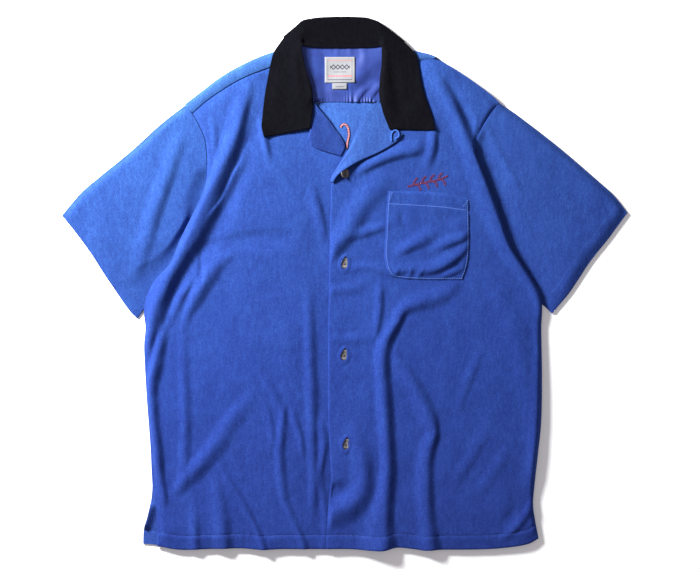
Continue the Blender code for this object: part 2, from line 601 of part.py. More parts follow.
def make_facing_left(blue):
    grid = lapel_grid(LAPEL_TOP_LEFT, LAPEL_HEM_LEFT, LAPEL_ROLL_LEFT, LAPEL_SIDE_LEFT,
                      True, "front_left")
    sheet("facing_left", grid_mesh(grid), CLOTH, blue)


def collar_sections():
    """Points of each collar section: across the top, then round and in under the nape."""
    count = (len(COLLAR_SECTIONS) - 1) * COLLAR_STEPS + 1
    where = np.linspace(0, 1, count)
    keys = np.linspace(0, 1, len(COLLAR_SECTIONS))
    table = np.array(COLLAR_SECTIONS, float)
    rows = np.stack([np.interp(where, keys, column) for column in table.T], axis=1)
    for column in (0, 1, 4, 5):
        rows[1:-1, column] = (rows[:-2, column] + 2 * rows[1:-1, column] + rows[2:, column]) / 4
    sections = []
    for ix, iy, iz, mid, ox, oy, oz in rows:
        inner, outer = Vector((ix, iy)), Vector((ox, oy))
        heights = np.interp(COLLAR_ACROSS, (0, COLLAR_CREST, 0.5, 1), (iz, mid, mid, oz))
        if oz > LEAF_END:
            heights = np.interp(COLLAR_ACROSS, (0, 0.5, 1), (iz, mid, oz))
        points = [(*inner.lerp(outer, s), z) for s, z in zip(COLLAR_ACROSS, heights)]
        inward = (FALL_CENTRE - outer).normalized()
        edge = outer - inward * FALL_ROLL
        points.append((edge.x, edge.y, oz * 0.5))
        for reach in FALL_UNDER:
            spot = outer + inward * reach
            points.append((spot.x, np.clip(spot.y, FALL_FLOOR, FALL_TOP), COLLAR_CLOTH / 2))
        sections.append(points)
    return np.array(sections)


def make_collar(black):
    """Stand and fall: a leaf on each front, the stand at the nape and the fall turned under it."""
    grid = collar_sections()
    top = len(COLLAR_ACROSS)
    below = ["front_right", "front_left", "yoke", "yoke_lining"]
    half = COLLAR_CLOTH / 2
    for index in np.ndindex(grid.shape[0], top):
        x, y, z = grid[index]
        grid[index][2] = max(z, top_at(x, y, below) + LAY + half)
    first, last = TURN_FIRST * COLLAR_STEPS, TURN_LAST * COLLAR_STEPS

    def stays(row, column):
        return column < top - 1 or first <= row < last

    sheet("collar", grid_mesh(grid, keep=stays), COLLAR_CLOTH, black, lift=0.0)


def make_pocket(blue):
    even = np.linspace(0, 1, POCKET_STEPS + 1)
    edges = (POCKET_TOP, POCKET_BOTTOM, POCKET_LEFT, POCKET_RIGHT)
    grid = patch(*(smooth_path(at_height(path, 0), even) for path in edges))
    sheet("pocket", grid_mesh(laid_on(grid, ["front_left"])), CLOTH, blue)


def make_labels(white):
    grid = flat_grid(LABEL_CORNERS, 4, 4, UPPER + LINING + GAP)
    sheet("label", grid_mesh(grid), LABEL, white)
    grid = flat_grid(TAB_CORNERS, 3, 1, UPPER + LINING + GAP)
    sheet("size_tab", grid_mesh(grid), LABEL, white)


def make_button(number, spot, shell):
    """A round button, tilted as it comes through its buttonhole."""
    name = "button_%d" % number
    bm = bmesh.new()
    bmesh.ops.create_cone(bm, cap_ends=True, segments=20, radius1=BUTTON_RADIUS,
                          radius2=BUTTON_RADIUS, depth=BUTTON_THICK)
    rims = [e for e in bm.edges if len({round(v.co.z, 3) for v in e.verts}) == 1]
    bmesh.ops.bevel(bm, geom=rims, offset=BUTTON_EDGE, segments=1, affect="EDGES", profile=0.5,
                    material=-1)
    bmesh.ops.rotate(bm, verts=bm.verts, matrix=Matrix.Rotation(BUTTON_TILT, 3, "Y"))
    low = min(v.co.z for v in bm.verts)
    bed = top_at(spot[0], spot[1], ["front_left"], BUTTON_RADIUS)
    centre = Vector((spot[0], spot[1], bed + GAP - low))
    mesh = bpy.data.meshes.new(name)
    bmesh.ops.scale(bm, verts=bm.verts, vec=(MM, MM, MM))
    bm.to_mesh(mesh)
    bm.free()
    mesh.materials.append(shell)
    made = bpy.data.objects.new(name, mesh)
    made.location = centre * MM
    shirt.objects.link(made)


def make_loop(blue):
    """A corded button loop at the left lapel's corner."""
    line = smooth_path(LOOP_PATH, np.linspace(0, 1, 15))
    below = ["collar", "facing_left", "front_left"]
    bed = max(top_at(x, y, below, 4.0) for x, y in line) + GAP + LOOP_CORD_RADIUS
    curve = bpy.data.curves.new("loop", "CURVE")
    curve.dimensions = "3D"
    curve.bevel_depth = LOOP_CORD_RADIUS * MM
    curve.bevel_resolution = 1
    curve.use_fill_caps = True
    spline = curve.splines.new("POLY")
    spline.points.add(len(line) - 1)
    for point, (x, y) in zip(spline.points, line):
        point.co = (x * MM, y * MM, bed * MM, 1)
    curve.materials.append(blue)
    made = bpy.data.objects.new("loop", curve)
    shirt.objects.link(made)


def main():
    global shirt
    for old in list(bpy.data.objects):
        bpy.data.objects.remove(old)
    shirt = bpy.data.collections.new("bowling_shirt")
    bpy.context.scene.collection.children.link(shirt)
    blue = cloth_material("body_cloth", BLUE, 0.95)
    satin = cloth_material("lining_satin", SATIN_BLUE, 0.35)
    black = cloth_material("collar_cloth", BLACK, 0.9)
    shell = cloth_material("button_shell", SHELL, 0.3)
    white = cloth_material("label_weave", WHITE, 0.8)
    make_back(blue)
    make_yoke(blue)
    make_lining(satin)
    make_sleeves(blue)
    make_front_right(blue)
    make_facing_right(blue)
    make_front_left(blue)
    make_facing_left(blue)
    make_collar(black)
    make_pocket(blue)
    make_labels(white)
    for number, spot in enumerate(BUTTONS, 1):
        make_button(number, spot, shell)
    make_loop(blue)


main()
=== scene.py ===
"""Short-sleeved bowling shirt in a napped royal-blue cloth, laid flat on its back, buttoned, collar open.

Tables are in millimetres: +X towards the wearer's left sleeve, +Y from the hem to the collar, +Z up from
the table. Right and left in names are the wearer's.
"""

import math

import bmesh
import bpy
import numpy as np
from mathutils import Matrix, Vector
from mathutils.bvhtree import BVHTree


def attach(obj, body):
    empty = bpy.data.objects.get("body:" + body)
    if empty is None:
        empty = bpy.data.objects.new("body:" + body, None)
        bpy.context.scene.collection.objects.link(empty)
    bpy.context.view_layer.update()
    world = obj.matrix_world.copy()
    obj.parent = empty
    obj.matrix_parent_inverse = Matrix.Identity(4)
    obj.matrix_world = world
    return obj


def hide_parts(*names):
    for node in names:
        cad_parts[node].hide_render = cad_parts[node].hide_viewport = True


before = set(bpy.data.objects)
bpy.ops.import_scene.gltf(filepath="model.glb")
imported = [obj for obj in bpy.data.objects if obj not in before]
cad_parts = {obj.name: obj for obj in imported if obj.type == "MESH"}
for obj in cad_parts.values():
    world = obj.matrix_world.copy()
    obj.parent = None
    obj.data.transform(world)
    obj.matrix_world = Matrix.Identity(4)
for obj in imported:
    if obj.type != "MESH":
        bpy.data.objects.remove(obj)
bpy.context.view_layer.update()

# ---------------------------------------------------------------- sizes, millimetres

MM = 0.001
CLOTH = 1.4  # wall of the body cloth
LINING = 0.6  # wall of the yoke lining
FELT = 1.6  # wall of the collar
TAPE = 0.5  # wall of the woven label
GAP = 0.3  # space between neighbouring pieces
LOWER = 0.0  # underside of the layer on the table
UPPER = CLOTH + GAP  # underside of the layer on that
FRONT = UPPER + CLOTH + GAP  # underside of a front at its seams
UNDER = 5.6  # underside of the right front where the left front lies on it
OVER = UNDER + CLOTH + 0.5  # underside of the left front where it laps over
FRONT_AIR = 8.0  # underside of a front away from its edges
SLEEVE_AIR_RIGHT = [(-40, 4.2), (0, 4.2), (60, 7.2)]  # y, underside of a sleeve's upper face
SLEEVE_AIR_LEFT = [(-40, 5.2), (100, 5.6), (180, 6.5)]
OVERLAP = 46.0  # width of the right front under the left one
SIDE_ROLL = 6.0  # roundness of a front's fold at its side
# y, width of the dip in a sleeve beside the front's fold
TUCK_RIGHT = [(-60, 60), (0, 48), (28, 32), (58, 14), (80, 9), (96, 9), (122, 24)]
TUCK_LEFT = [(-60, 60), (120, 60)]

STEP = 2.5  # spacing of the fronts' points
EDGE = (0.5, 1.2, 2.2, 3.6, 5.4)  # extra points close to an edge
HEM = 20.0  # distance of the hem's and cuffs' stitching from the edge
HEM_EDGE = EDGE + (8.0, 11.0, 14.5, HEM - 1.6, HEM - 0.7, HEM, HEM + 0.7, HEM + 1.6)
FACING = 41.0  # width of the facing under the left front's edge
FACING_EDGE = EDGE + tuple(range(8, 38, 3)) + (FACING - 1.4, FACING - 0.5, FACING + 0.5, FACING + 1.4)
KNOT_STEPS = 12  # points of a traced line from one knot to the next
JOIN = 0.01  # points closer than this are one
SIDE_TURN = CLOTH / 2 + 0.8  # how far short of a sleeve's side its flat faces end
SEAM_DROP = 1.6  # reach of the dip along a seam or a fold
ABOVE_ALL = 200.0  # a height over every sheet

# ---------------------------------------------------------------- outline, as in the part's source

ARMHOLE_RIGHT = [(-232, 260), (-221, 247), (-211, 229), (-203, 209), (-200, 180), (-201, 147),
                 (-205, 118), (-215, 82), (-230, 42), (-243, 19), (-258, -5), (-278, -24)]
ARMHOLE_LEFT = [(225, 263), (215, 252), (203, 234), (193, 214), (189, 200), (190, 187),
                (195, 160), (207, 124), (222, 87), (239, 50), (258, 12), (279, -24)]
AT_FRONT_SEAM = 1
AT_BACK_SEAM = 3
AT_FOLD = 5
SHOULDER_LINE = [(-232, 260), (-210, 277), (-181, 299), (-152, 316), (-119, 331), (-87, 341),
                 (-66, 346), (0, 346), (58, 346), (80, 342), (106, 337), (131, 330), (160, 312),
                 (189, 292), (225, 263)]
BACK_YOKE_SEAM = [(-203, 209), (-152, 250), (-36, 264), (42, 264), (138, 253), (193, 214)]

# Edges of the panels as (x, y, underside height).
YOKE_SEAM_RIGHT = [(-221, 247, 4.6), (-195, 269, 5.2), (-152, 296, 5.6), (-108, 314, 5.0),
                   (-66, 327, FRONT)]
FOLD_RIGHT = [(-210, 122, 6.6), (-221, 100, 6.0), (-239, 64, 5.6), (-253, 31, 5.6),
              (-275, 6, 5.2), (-288, -20, 4.6), (-291, -42, 4.2)]
SIDE_RIGHT = [(-289, -63, 3.8), (-291, -88, 3.4), (-290, -117, 3.4), (-287, -168, 3.6),
              (-282, -233, 3.4), (-280, -275, 3.2), (-278, -302, 3.0), (-275, -318, 2.8),
              (-273, -332, 2.8), (-272, -352, 3.0), (-272, -380, 4.0)]
RIGHT_FRONT_EDGE = [(-66, 327, FRONT), (-60, 308, FRONT), (-54, 288, FRONT), (-48, 269, FRONT),
                    (-43, 256, FRONT), (-28, 238, 3.8), (-16, 220, 4.4), (-6, 207, 4.8),
                    (4, 194, 5.2), (12, 177, UNDER), (17, 160, UNDER), (18, 143, UNDER), (18, 118, UNDER),
                    (18, 70, UNDER), (18, -23, UNDER), (18, -168, UNDER), (18, -383, 5.0)]
HEM_RIGHT = [(-272, -380, 4.0), (-239, -385, 6.4), (-200, -384, 5.6), (-152, -383, 5.4),
             (-120, -385, 7.6), (-92, -384, 6.0), (-65, -384, 6.8), (-20, -384, 5.2),
             (18, -383, 5.0)]
YOKE_SEAM_LEFT = [(58, 322, FRONT), (80, 322, FRONT), (106, 324, FRONT), (127, 327, 3.2),
                  (145, 321, 3.0), (174, 303, 3.0), (211, 276, 3.0), (225, 263, 3.0)]
FOLD_LEFT = [(208, 144, 6.0), (225, 100, 5.4), (240, 57, 5.2),
             (258, 28, 5.2), (277, -1, 5.4), (285, -20, 5.8), (286, -40, 6.4)]
SIDE_LEFT = [(285, -66, 4.4), (286, -132, 4.1), (285, -197, 4.1), (280, -248, 4.1),
             (276, -284, 4.1), (273, -318, 5.8), (276, -343, 5.2), (281, -369, 4.4)]
LEFT_FRONT_EDGE = [(58, 322, FRONT), (57, 298, FRONT), (57, 278, FRONT), (53, 262, FRONT),
                   (37, 246, 3.8), (22, 224, 5.0), (10, 198, 6.6), (-2, 179, OVER),
                   (-14, 160, OVER), (-19, 145, OVER), (-20, 122, OVER), (-21, 71, OVER),
                   (-23, -23, OVER), (-24, -168, OVER), (-21, -248, OVER), (-20, -284, OVER),
                   (-24, -330, OVER), (-27, -384, OVER)]
HEM_LEFT = [(-27, -384, OVER), (8, -384, 7.0), (38, -386, 8.6), (56, -386, 9.4), (76, -382, 6.2),
            (100, -384, 6.6), (118, -386, 8.0), (142, -385, 6.0), (211, -384, 6.0), (261, -378, 6.0),
            (281, -369, 4.4)]
BACK_SIDE_RIGHT = [(-276, -28), (-285, -63), (-289, -88), (-289, -117), (-285, -168), (-280, -233),
                   (-280, -300), (-286, -335), (-292, -356), (-293, -377)]
BACK_SIDE_LEFT = [(277, -28), (283, -66), (284, -132), (283, -197), (278, -248), (274, -284),
                  (271, -320), (274, -339), (279, -366)]
BACK_HEM = [(-293, -377), (-239, -381), (-120, -382), (8, -382), (138, -383), (211, -381),
            (279, -366)]
SLEEVE_TOP_RIGHT = [(-232, 260), (-268, 232), (-311, 193), (-355, 157), (-384, 132), (-411, 100)]
CUFF_RIGHT = [(-411, 100), (-395, 80), (-369, 45), (-343, 5), (-314, -37), (-301, -50)]
UNDERARM_RIGHT = [(-278, -24), (-290, -36), (-301, -50)]
SLEEVE_TOP_LEFT = [(225, 263), (254, 243), (312, 198), (370, 148), (392, 128), (411, 104)]
CUFF_LEFT = [(411, 104), (385, 69), (356, 32), (327, -11), (301, -43)]
UNDERARM_LEFT = [(279, -24), (291, -33), (301, -43)]

LINING_CORNERS = ((-64, 346), (58, 346), (51, 264.3), (-50, 264.3))
LABEL_CORNERS = ((-29, 330), (15, 330), (15, 292.5), (-29, 292.5))
TAB_CORNERS = ((-18, 291.7), (3, 291.7), (3, 283), (-18, 283))

POCKET_TOP = [(63, 135), (109, 134), (138, 132), (160, 128), (180, 122)]
POCKET_LEFT = [(63, 135), (61, 112), (59, 71), (58, 42), (61, 22)]
POCKET_BOTTOM = [(61, 22), (68, 12), (82, 8), (116, 6), (171, 6)]
POCKET_RIGHT = [(180, 122), (181, 86), (181, 50), (178, 26), (171, 6)]

LAPEL_ROLL_RIGHT = [(-47, 267), (-36, 253), (-25, 240), (-14, 225), (-4, 211), (0, 199), (-6, 186)]
LAPEL_TOP_RIGHT = [(-55, 255), (-47, 267)]
LAPEL_SIDE_RIGHT = [(-55, 255), (-53, 240), (-50, 226), (-52, 212), (-49, 202)]
LAPEL_HEM_RIGHT = [(-49, 202), (-40, 197), (-24, 191), (-6, 186)]
LAPEL_ROLL_LEFT = [(50, 267), (34, 250), (19, 227), (8, 200), (-4, 180), (-16, 161), (-21, 149)]
LAPEL_TOP_LEFT = [(50, 267), (59, 253), (66, 240), (72, 229), (78, 221), (85, 217)]
LAPEL_SIDE_LEFT = [(85, 217), (73, 205), (51, 192), (22, 179), (0, 166), (-11, 157), (-17, 147)]
LAPEL_HEM_LEFT = [(-21, 149), (-17, 147)]

# Collar sections from the right leaf's point over the nape to the left leaf's point: inner edge
# x, y, height, height across the middle, outer edge x, y, height (heights of the middle of the felt).
COLLAR_SECTIONS = [
    (-50, 226, 7.5, 7.5, -117, 213, 7.2),
    (-47, 246, 8.0, 8.0, -121, 228, 7.2),
    (-46, 262, 6.0, 8.5, -119, 250, 7.2),
    (-47, 283, 4.2, 8.5, -116, 276, 7.2),
    (-57, 314, 4.2, 9.0, -110, 308, 7.2),
    (-62, 338, 4.2, 9.2, -104, 336, 6.4),
    (-62, 345, 4.2, 9.4, -88, 358.5, 6.0),
    (-61, 346, 4.2, 9.8, -70, 373, 8.0),
    (-57, 345, 4.2, 9.6, -60, 382, 9.2),
    (-48, 343.5, 4.2, 7.6, -38, 385.5, 9.2),
    (0, 343, 4.2, 6.8, 0, 386.5, 9.2),
    (40, 343.5, 4.2, 7.6, 31, 385.5, 9.2),
    (49, 345, 4.2, 9.6, 48, 380, 9.2),
    (53, 346, 4.2, 9.8, 63, 369.5, 8.0),
    (54, 345, 4.2, 9.4, 86, 352, 6.0),
    (54, 338, 4.2, 9.2, 104, 334, 6.4),
    (54, 320, 4.2, 9.0, 108, 310, 7.2),
    (51, 296, 4.2, 8.5, 110, 294, 7.2),
    (50, 274, 4.2, 8.5, 116, 272, 7.2),
    (55, 249, 7.0, 8.0, 127, 243, 7.2),
    (65, 224, 7.5, 7.5, 131, 223, 7.2),
]
TURN_FIRST, TURN_LAST = 6, 14  # sections between which the fall turns under at the nape
COLLAR_STEPS = 9  # rows of faces from one section to the next
COLLAR_ACROSS = (0, 0.02, 0.05, 0.08, 0.12, 0.17, 0.23, 0.3, 0.37, 0.44, 0.51, 0.58, 0.65, 0.72, 0.79,
                 0.86, 0.92, 0.96, 0.985, 1.0)
CREST = 0.08
FALL_UNDER = (0.0, 6.0, 12.0, 19.0, 26.0, 36.0)
FALL_ROLL = 1.4
FALL_TOP, FALL_FLOOR = 385.5, 349.0
FALL_CENTRE = Vector((-4.0, 330.0))

BUTTONS = ((2, 158), (0, 29), (-1, -104), (2, -233))
LOOP_PATH = [(68, 207), (67.5, 213), (68.5, 219), (73, 223), (78, 220), (78.5, 214), (73.5, 210.5)]

# ---------------------------------------------------------------- folds, millimetres
# Each fold is its crest: x, y, height, reach towards the light, reach away from it. A negative height
# is a trough.

FOLDS_RIGHT = [
    [(-136, 300, 0, 20, 10), (-142, 275, 2.5, 22, 12), (-149, 252, 5.5, 22, 13), (-157, 220, 6.5, 22, 14),
     (-165, 200, 7, 20, 16), (-174, 180, 7.5, 18, 18), (-183, 160, 8, 16, 20), (-193, 140, 8.5, 14, 23),
     (-202, 120, 8.5, 13, 26), (-211, 100, 8.5, 12, 28), (-220, 80, 8.5, 12, 28), (-230, 60, 8.5, 12, 26),
     (-241, 40, 8, 14, 22), (-251, 20, 8, 18, 20), (-260, 0, 8, 20, 18), (-269, -20, 8, 18, 20),
     (-276, -40, 7.5, 14, 22), (-281, -60, 7, 10, 20), (-285, -80, 6, 7, 14), (-288, -108, 0, 5, 8)],
    [(-124, 262, 0, 12, 14), (-134, 222, -2, 12, 20), (-146, 190, -2.5, 14, 26), (-154, 160, -3, 16, 26),
     (-166, 130, -3.5, 18, 24), (-179, 97, -3.5, 18, 24), (-198, 63, -3.5, 18, 24), (-222, 28, -3, 16, 18),
     (-243, -5, -2.5, 14, 14), (-252, -42, -2, 14, 12), (-256, -72, 0, 10, 10)],
    [(-143, 200, 0, 5, 10), (-150, 178, 2, 5, 12), (-160, 160, 2.5, 5, 12), (-168, 142, 2.5, 5, 12),
     (-178, 122, 2, 5, 12), (-190, 106, 1.5, 5, 12), (-200, 94, 0, 5, 10)],
    [(-212, 48, 0, 12, 16), (-195, 55, -1.6, 14, 22), (-172, 61, -2, 15, 26), (-145, 66, -2, 15, 26),
     (-115, 70, -1.8, 15, 26), (-88, 67, -1.2, 15, 24), (-62, 58, 0, 12, 16)],
    [(-156, 48, 0, 14, 8), (-168, 41, 1, 14, 10), (-180, 32, 2.2, 16, 13), (-193, 19, 4.2, 16, 17),
     (-204, 4, 5.4, 14, 19), (-213, -12, 5.4, 12, 18), (-221, -28, 4, 11, 15), (-228, -44, 2.2, 8, 10),
     (-234, -66, 0, 6, 8)],
    [(-224, 4, 0, 8, 7), (-231, -8, 2.5, 8, 8), (-241, -24, 3.2, 10, 10), (-250, -44, 3, 10, 10),
     (-258, -68, 0, 8, 8)],
    [(-210, 50, 0, 5, 6), (-208, 30, -2.5, 6, 6), (-208, 10, -2, 6, 6), (-211, -8, 0, 5, 5)],
    [(-262, -58, 0, 8, 8), (-266, -78, 4, 9, 12), (-271, -98, 6, 9, 14), (-276, -118, 7, 9, 16),
     (-281, -138, 7, 8, 16), (-283, -158, 7, 7, 15), (-281, -180, 7, 7, 14), (-279, -202, 6.5, 8, 13),
     (-275, -225, 6.5, 8, 12), (-272, -248, 6.5, 8, 12), (-270, -270, 6, 8, 11), (-266, -290, 4.6, 8, 9),
     (-262, -306, 3.5, 7, 7), (-260, -322, 0, 6, 6)],
    [(-236, -50, 0, 10, 12), (-235, -90, 1.6, 10, 12), (-234, -130, 2.4, 10, 12),
     (-232, -170, 2.8, 10, 12), (-232, -215, 3, 10, 12), (-233, -260, 2.6, 10, 12),
     (-237, -300, 0, 10, 10)],
    [(-126, -148, 0, 14, 14), (-140, -167, 1.2, 16, 18), (-152, -182, 2, 16, 20),
     (-166, -200, 2.8, 17, 20), (-178, -219, 3.4, 17, 21), (-190, -236, 3.8, 17, 21),
     (-201, -250, 4.4, 17, 20), (-212, -262, 4.5, 16, 20), (-222, -274, 3.6, 14, 19),
     (-236, -290, 2.2, 12, 15), (-250, -306, 0, 10, 8)],
    [(-194, -254, 0, 6, 8), (-180, -271, 2.6, 6, 9), (-167, -289, 4, 6, 9), (-154, -309, 4, 6, 9),
     (-142, -330, 4, 6, 9), (-133, -347, 4, 6, 8), (-125, -364, 4, 6, 8), (-112, -400, 4, 6, 8)],
    [(-190, -278, 0, 16, 12), (-186, -298, 2.6, 18, 13), (-181, -322, 4, 20, 14),
     (-177, -350, 4.6, 20, 15), (-175, -375, 5, 20, 15), (-174, -400, 5, 20, 15)],
    [(-219, -312, 0, 12, 8), (-218, -340, 2.4, 12, 10), (-217, -370, 2.8, 12, 10),
     (-216, -400, 2.8, 12, 10)],
    [(-88, -170, 0, 8, 8), (-89, -190, 2.2, 9, 8), (-92, -215, 3, 9, 10), (-95, -240, 3.3, 9, 11),
     (-94, -265, 3.3, 9, 11), (-92, -290, 2.9, 9, 11), (-88, -312, 3, 9, 10), (-79, -335, 2.8, 8, 9),
     (-70, -353, 3, 8, 8), (-62, -373, 3.2, 8, 8), (-52, -400, 3.4, 8, 8)],
    [(-122, -132, 0, 8, 8), (-112, -148, 2, 8, 10), (-101, -166, 2.6, 8, 10), (-93, -184, 2, 8, 9),
     (-88, -202, 0, 6, 6)],
    [(-77, -178, 0, 8, 7), (-73, -195, 2.4, 8, 7), (-67, -212, 2.6, 8, 7), (-62, -235, 2, 8, 7),
     (-60, -258, 0, 8, 6)],
    [(-122, -164, 0, 10, 8), (-111, -190, 1.6, 10, 8), (-105, -218, 1.6, 10, 8), (-107, -252, 0, 10, 8)],
    [(-53, 0, 0, 12, 12), (-52, -38, 2, 12, 12), (-51, -76, 3, 12, 12), (-50, -110, 3.3, 12, 12),
     (-49, -140, 3.6, 12, 13), (-48, -170, 3.6, 12, 13), (-48, -202, 3, 12, 11), (-47, -238, 2.8, 11, 10),
     (-45, -274, 2.8, 11, 10), (-45, -308, 2.4, 11, 10), (-47, -338, 0, 8, 8)],
    [(-36, -192, 0, 10, 8), (-31, -214, 2.2, 10, 8), (-29, -234, 2.8, 10, 7), (-33, -256, 2.6, 8, 7),
     (-36, -282, 2, 8, 8), (-31, -310, 2, 8, 8), (-28, -340, 1.8, 8, 8), (-29, -370, 1.4, 8, 8),
     (-30, -400, 1, 8, 8)],
    [(-48, 142, 0, 14, 6), (-42, 121, 2.8, 16, 6), (-36, 101, 3.4, 16, 6), (-31, 81, 2.6, 14, 6),
     (-28, 60, 0, 12, 6)],
    [(-122, 242, 0, 8, 8), (-119, 220, 3.2, 8, 8), (-114, 198, 3.2, 8, 8), (-109, 176, 0, 8, 7)],
    [(-120, 176, 0, 12, 10), (-100, 163, 1.1, 12, 10), (-80, 146, 1.1, 12, 10), (-60, 122, 0, 12, 10)],
    [(-196, 250, 0, 6, 7), (-190, 225, 1.4, 8, 8), (-188, 200, 1.2, 8, 7), (-186, 176, 0, 6, 6)],
]
FOLDS_LEFT = [
    [(14, 158, 0, 10, 6), (28, 168, 3.2, 12, 10), (46, 177, 4.2, 15, 10), (66, 185, 4.6, 18, 10),
     (86, 191, 4.6, 20, 11), (102, 193, 3.8, 20, 10), (116, 197, 0, 14, 9)],
    [(130, 236, 0, 10, 8), (129, 216, 3, 12, 9), (127, 197, 3.6, 12, 10), (123, 181, 2.2, 12, 10),
     (118, 168, 0, 10, 8)],
    [(126, 307, 0, 12, 4), (138, 291, 3, 16, 4.5), (148, 274, 4.2, 18, 5), (158, 256, 5, 20, 6.5),
     (168, 234, 5.5, 20, 9), (176, 214, 5.5, 22, 10), (182, 198, 5.5, 22, 11), (189, 180, 5.5, 22, 12),
     (196, 160, 5, 24, 12), (203, 141, 5, 24, 13), (210, 121, 5, 24, 15), (217, 101, 5, 24, 17),
     (225, 82, 5, 24, 17), (232, 65, 5, 22, 16), (241, 46, 4.5, 20, 14), (252, 28, 4, 18, 12),
     (263, 11, 3.5, 16, 10), (273, -4, 3, 14, 8), (281, -24, 2, 12, 7), (286, -52, 0, 10, 6)],
    [(150, 300, 0, 12, 14), (164, 266, -1.5, 6, 16), (178, 234, -2, 6, 18), (190, 206, 0, 6, 14)],
    [(166, 6, 0, 10, 10), (157, -6, 1.5, 14, 13), (140, -17, 2.6, 18, 16), (117, -24, 3.2, 20, 16),
     (98, -30, 3.6, 18, 14), (84, -39, 4.2, 15, 10), (76, -54, 4.6, 14, 10), (67, -68, 5.2, 14, 11),
     (59, -84, 5.8, 15, 13), (55, -104, 6.2, 16, 14), (55, -130, 6.2, 16, 14), (57, -160, 6.2, 16, 15),
     (59, -196, 6.4, 16, 15), (61, -232, 6.4, 14, 15), (62, -266, 6.4, 13, 16), (60, -298, 6.4, 16, 16),
     (58, -324, 6.6, 24, 16), (57, -348, 6.8, 34, 17), (57, -372, 7, 42, 18), (58, -400, 7, 46, 20)],
    [(51, 6, 0, 9, 6), (51, -15, 2.6, 10, 8), (50, -38, 3, 10, 8), (47, -60, 2.4, 10, 8),
     (44, -82, 0, 10, 7)],
    [(66, 150, 0, 24, 16), (52, 140, 2.4, 26, 20), (34, 126, 3.8, 26, 22), (20, 108, 4.4, 26, 22),
     (12, 90, 4.8, 26, 19), (4, 75, 5.6, 25, 18), (-6, 63, 6.2, 22, 18), (-15, 52, 5.6, 18, 17),
     (-24, 38, 3, 14, 14)],
    [(64, 86, 0, 10, 8), (50, 81, 2.4, 12, 9), (36, 77, 3, 12, 9), (22, 72, 2.4, 12, 9),
     (8, 68, 0, 10, 8)],
    [(4, 20, 0, 8, 10), (20, 25, 1.6, 10, 10), (38, 24, 2, 10, 10), (55, 19, 1.6, 10, 10),
     (72, 10, 0, 8, 10)],
    [(-34, -6, 0, 14, 12), (-12, -8, 1.8, 14, 12), (12, -6, 1.8, 14, 12), (34, -2, 0, 14, 12)],
    [(-34, -78, 0, 12, 12), (-10, -80, 1.4, 12, 12), (14, -80, 1.4, 12, 12), (36, -76, 0, 12, 12)],
    [(68, -88, 0, 14, 6), (78, -110, 2.4, 16, 7), (92, -132, 3.8, 18, 8), (105, -154, 4.6, 20, 9),
     (117, -177, 5, 22, 9), (126, -198, 5, 22, 9), (130, -216, 4.4, 20, 9), (124, -235, 4.2, 20, 11),
     (119, -257, 4.6, 20, 13), (118, -285, 5, 20, 14), (119, -313, 5, 20, 14), (120, -340, 5, 20, 15),
     (124, -368, 5, 20, 16), (130, -400, 5, 20, 16)],
    [(11, -206, 0, 16, 16), (19, -230, 3, 20, 18), (26, -254, 4.6, 22, 18), (28, -280, 5.6, 23, 18),
     (24, -302, 5.8, 22, 22), (11, -318, 5.4, 20, 26), (-5, -327, 5, 20, 28), (-20, -333, 4.8, 20, 28),
     (-36, -338, 4.8, 20, 28)],
    [(10, -288, 0, 12, 12), (-2, -297, -2.8, 18, 14), (-18, -302, -4, 19, 14), (-38, -306, -4, 19, 14)],
    [(280, -50, 0, 12, 4), (281, -100, 1.4, 13, 4), (280, -160, 1.8, 14, 4), (278, -215, 1.8, 14, 4),
     (273, -265, 1.8, 14, 4), (269, -305, 0, 12, 4)],
    [(282, -303, 0, 10, 9), (268, -325, 1.8, 10, 9), (257, -342, 2.2, 10, 9), (243, -357, 2, 10, 8),
     (228, -370, 0, 10, 8)],
    [(250, -320, 0, 8, 10), (238, -336, -1, 8, 10), (225, -352, 0, 8, 10)],
    [(208, 2, 0, 16, 20), (225, -22, 1.2, 20, 24), (240, -52, 1.6, 22, 26), (252, -85, 1.8, 22, 26),
     (260, -120, 1.8, 22, 26), (268, -160, 1.6, 20, 20), (272, -200, 1.6, 18, 14),
     (272, -250, 1.6, 18, 10), (267, -292, 0, 16, 10)],
    [(206, -206, 0, 14, 10), (193, -236, 1.1, 15, 10), (176, -264, 1.2, 15, 10), (150, -306, 0, 14, 10)],
    [(203, -84, 0, 12, 8), (188, -120, 1.3, 13, 9), (176, -150, 1.1, 13, 9), (160, -200, 0, 12, 8)],
    [(240, -236, 0, 14, 14), (222, -262, 1.2, 14, 14), (206, -286, 1, 14, 14), (190, -304, 0, 12, 12)],
    [(192, 246, 0, 6, 5), (190, 230, 1, 6, 5), (187, 210, 0, 6, 5)],
]
FOLDS_SLEEVE_RIGHT = [
    [(-234, 218, 0, 16, 8), (-244, 194, 2.4, 20, 13), (-254, 165, 3.6, 20, 14), (-264, 136, 4.2, 20, 14),
     (-274, 108, 4.3, 20, 15), (-283, 80, 3.8, 20, 15), (-292, 50, 2.6, 20, 15), (-300, 20, 1.2, 18, 14),
     (-306, 0, 0, 16, 12)],
    [(-238, 250, 0, 8, 8), (-250, 239, 1.4, 8, 8), (-262, 227, 1.4, 8, 8), (-273, 214, 0, 8, 8)],
]
FOLDS_SLEEVE_LEFT = [
    [(203, 232, 0, 9, 8), (209, 220, 1.6, 9, 9), (217, 203, 2.4, 10, 10), (227, 184, 2.6, 10, 11),
     (237, 164, 2.4, 10, 11), (248, 144, 1.8, 10, 10), (259, 122, 0, 10, 10)],
    [(232, 150, 0, 16, 10), (244, 122, 1, 16, 10), (256, 96, 1.2, 16, 10), (268, 72, 1, 14, 10),
     (281, 42, 0, 14, 10)],
]
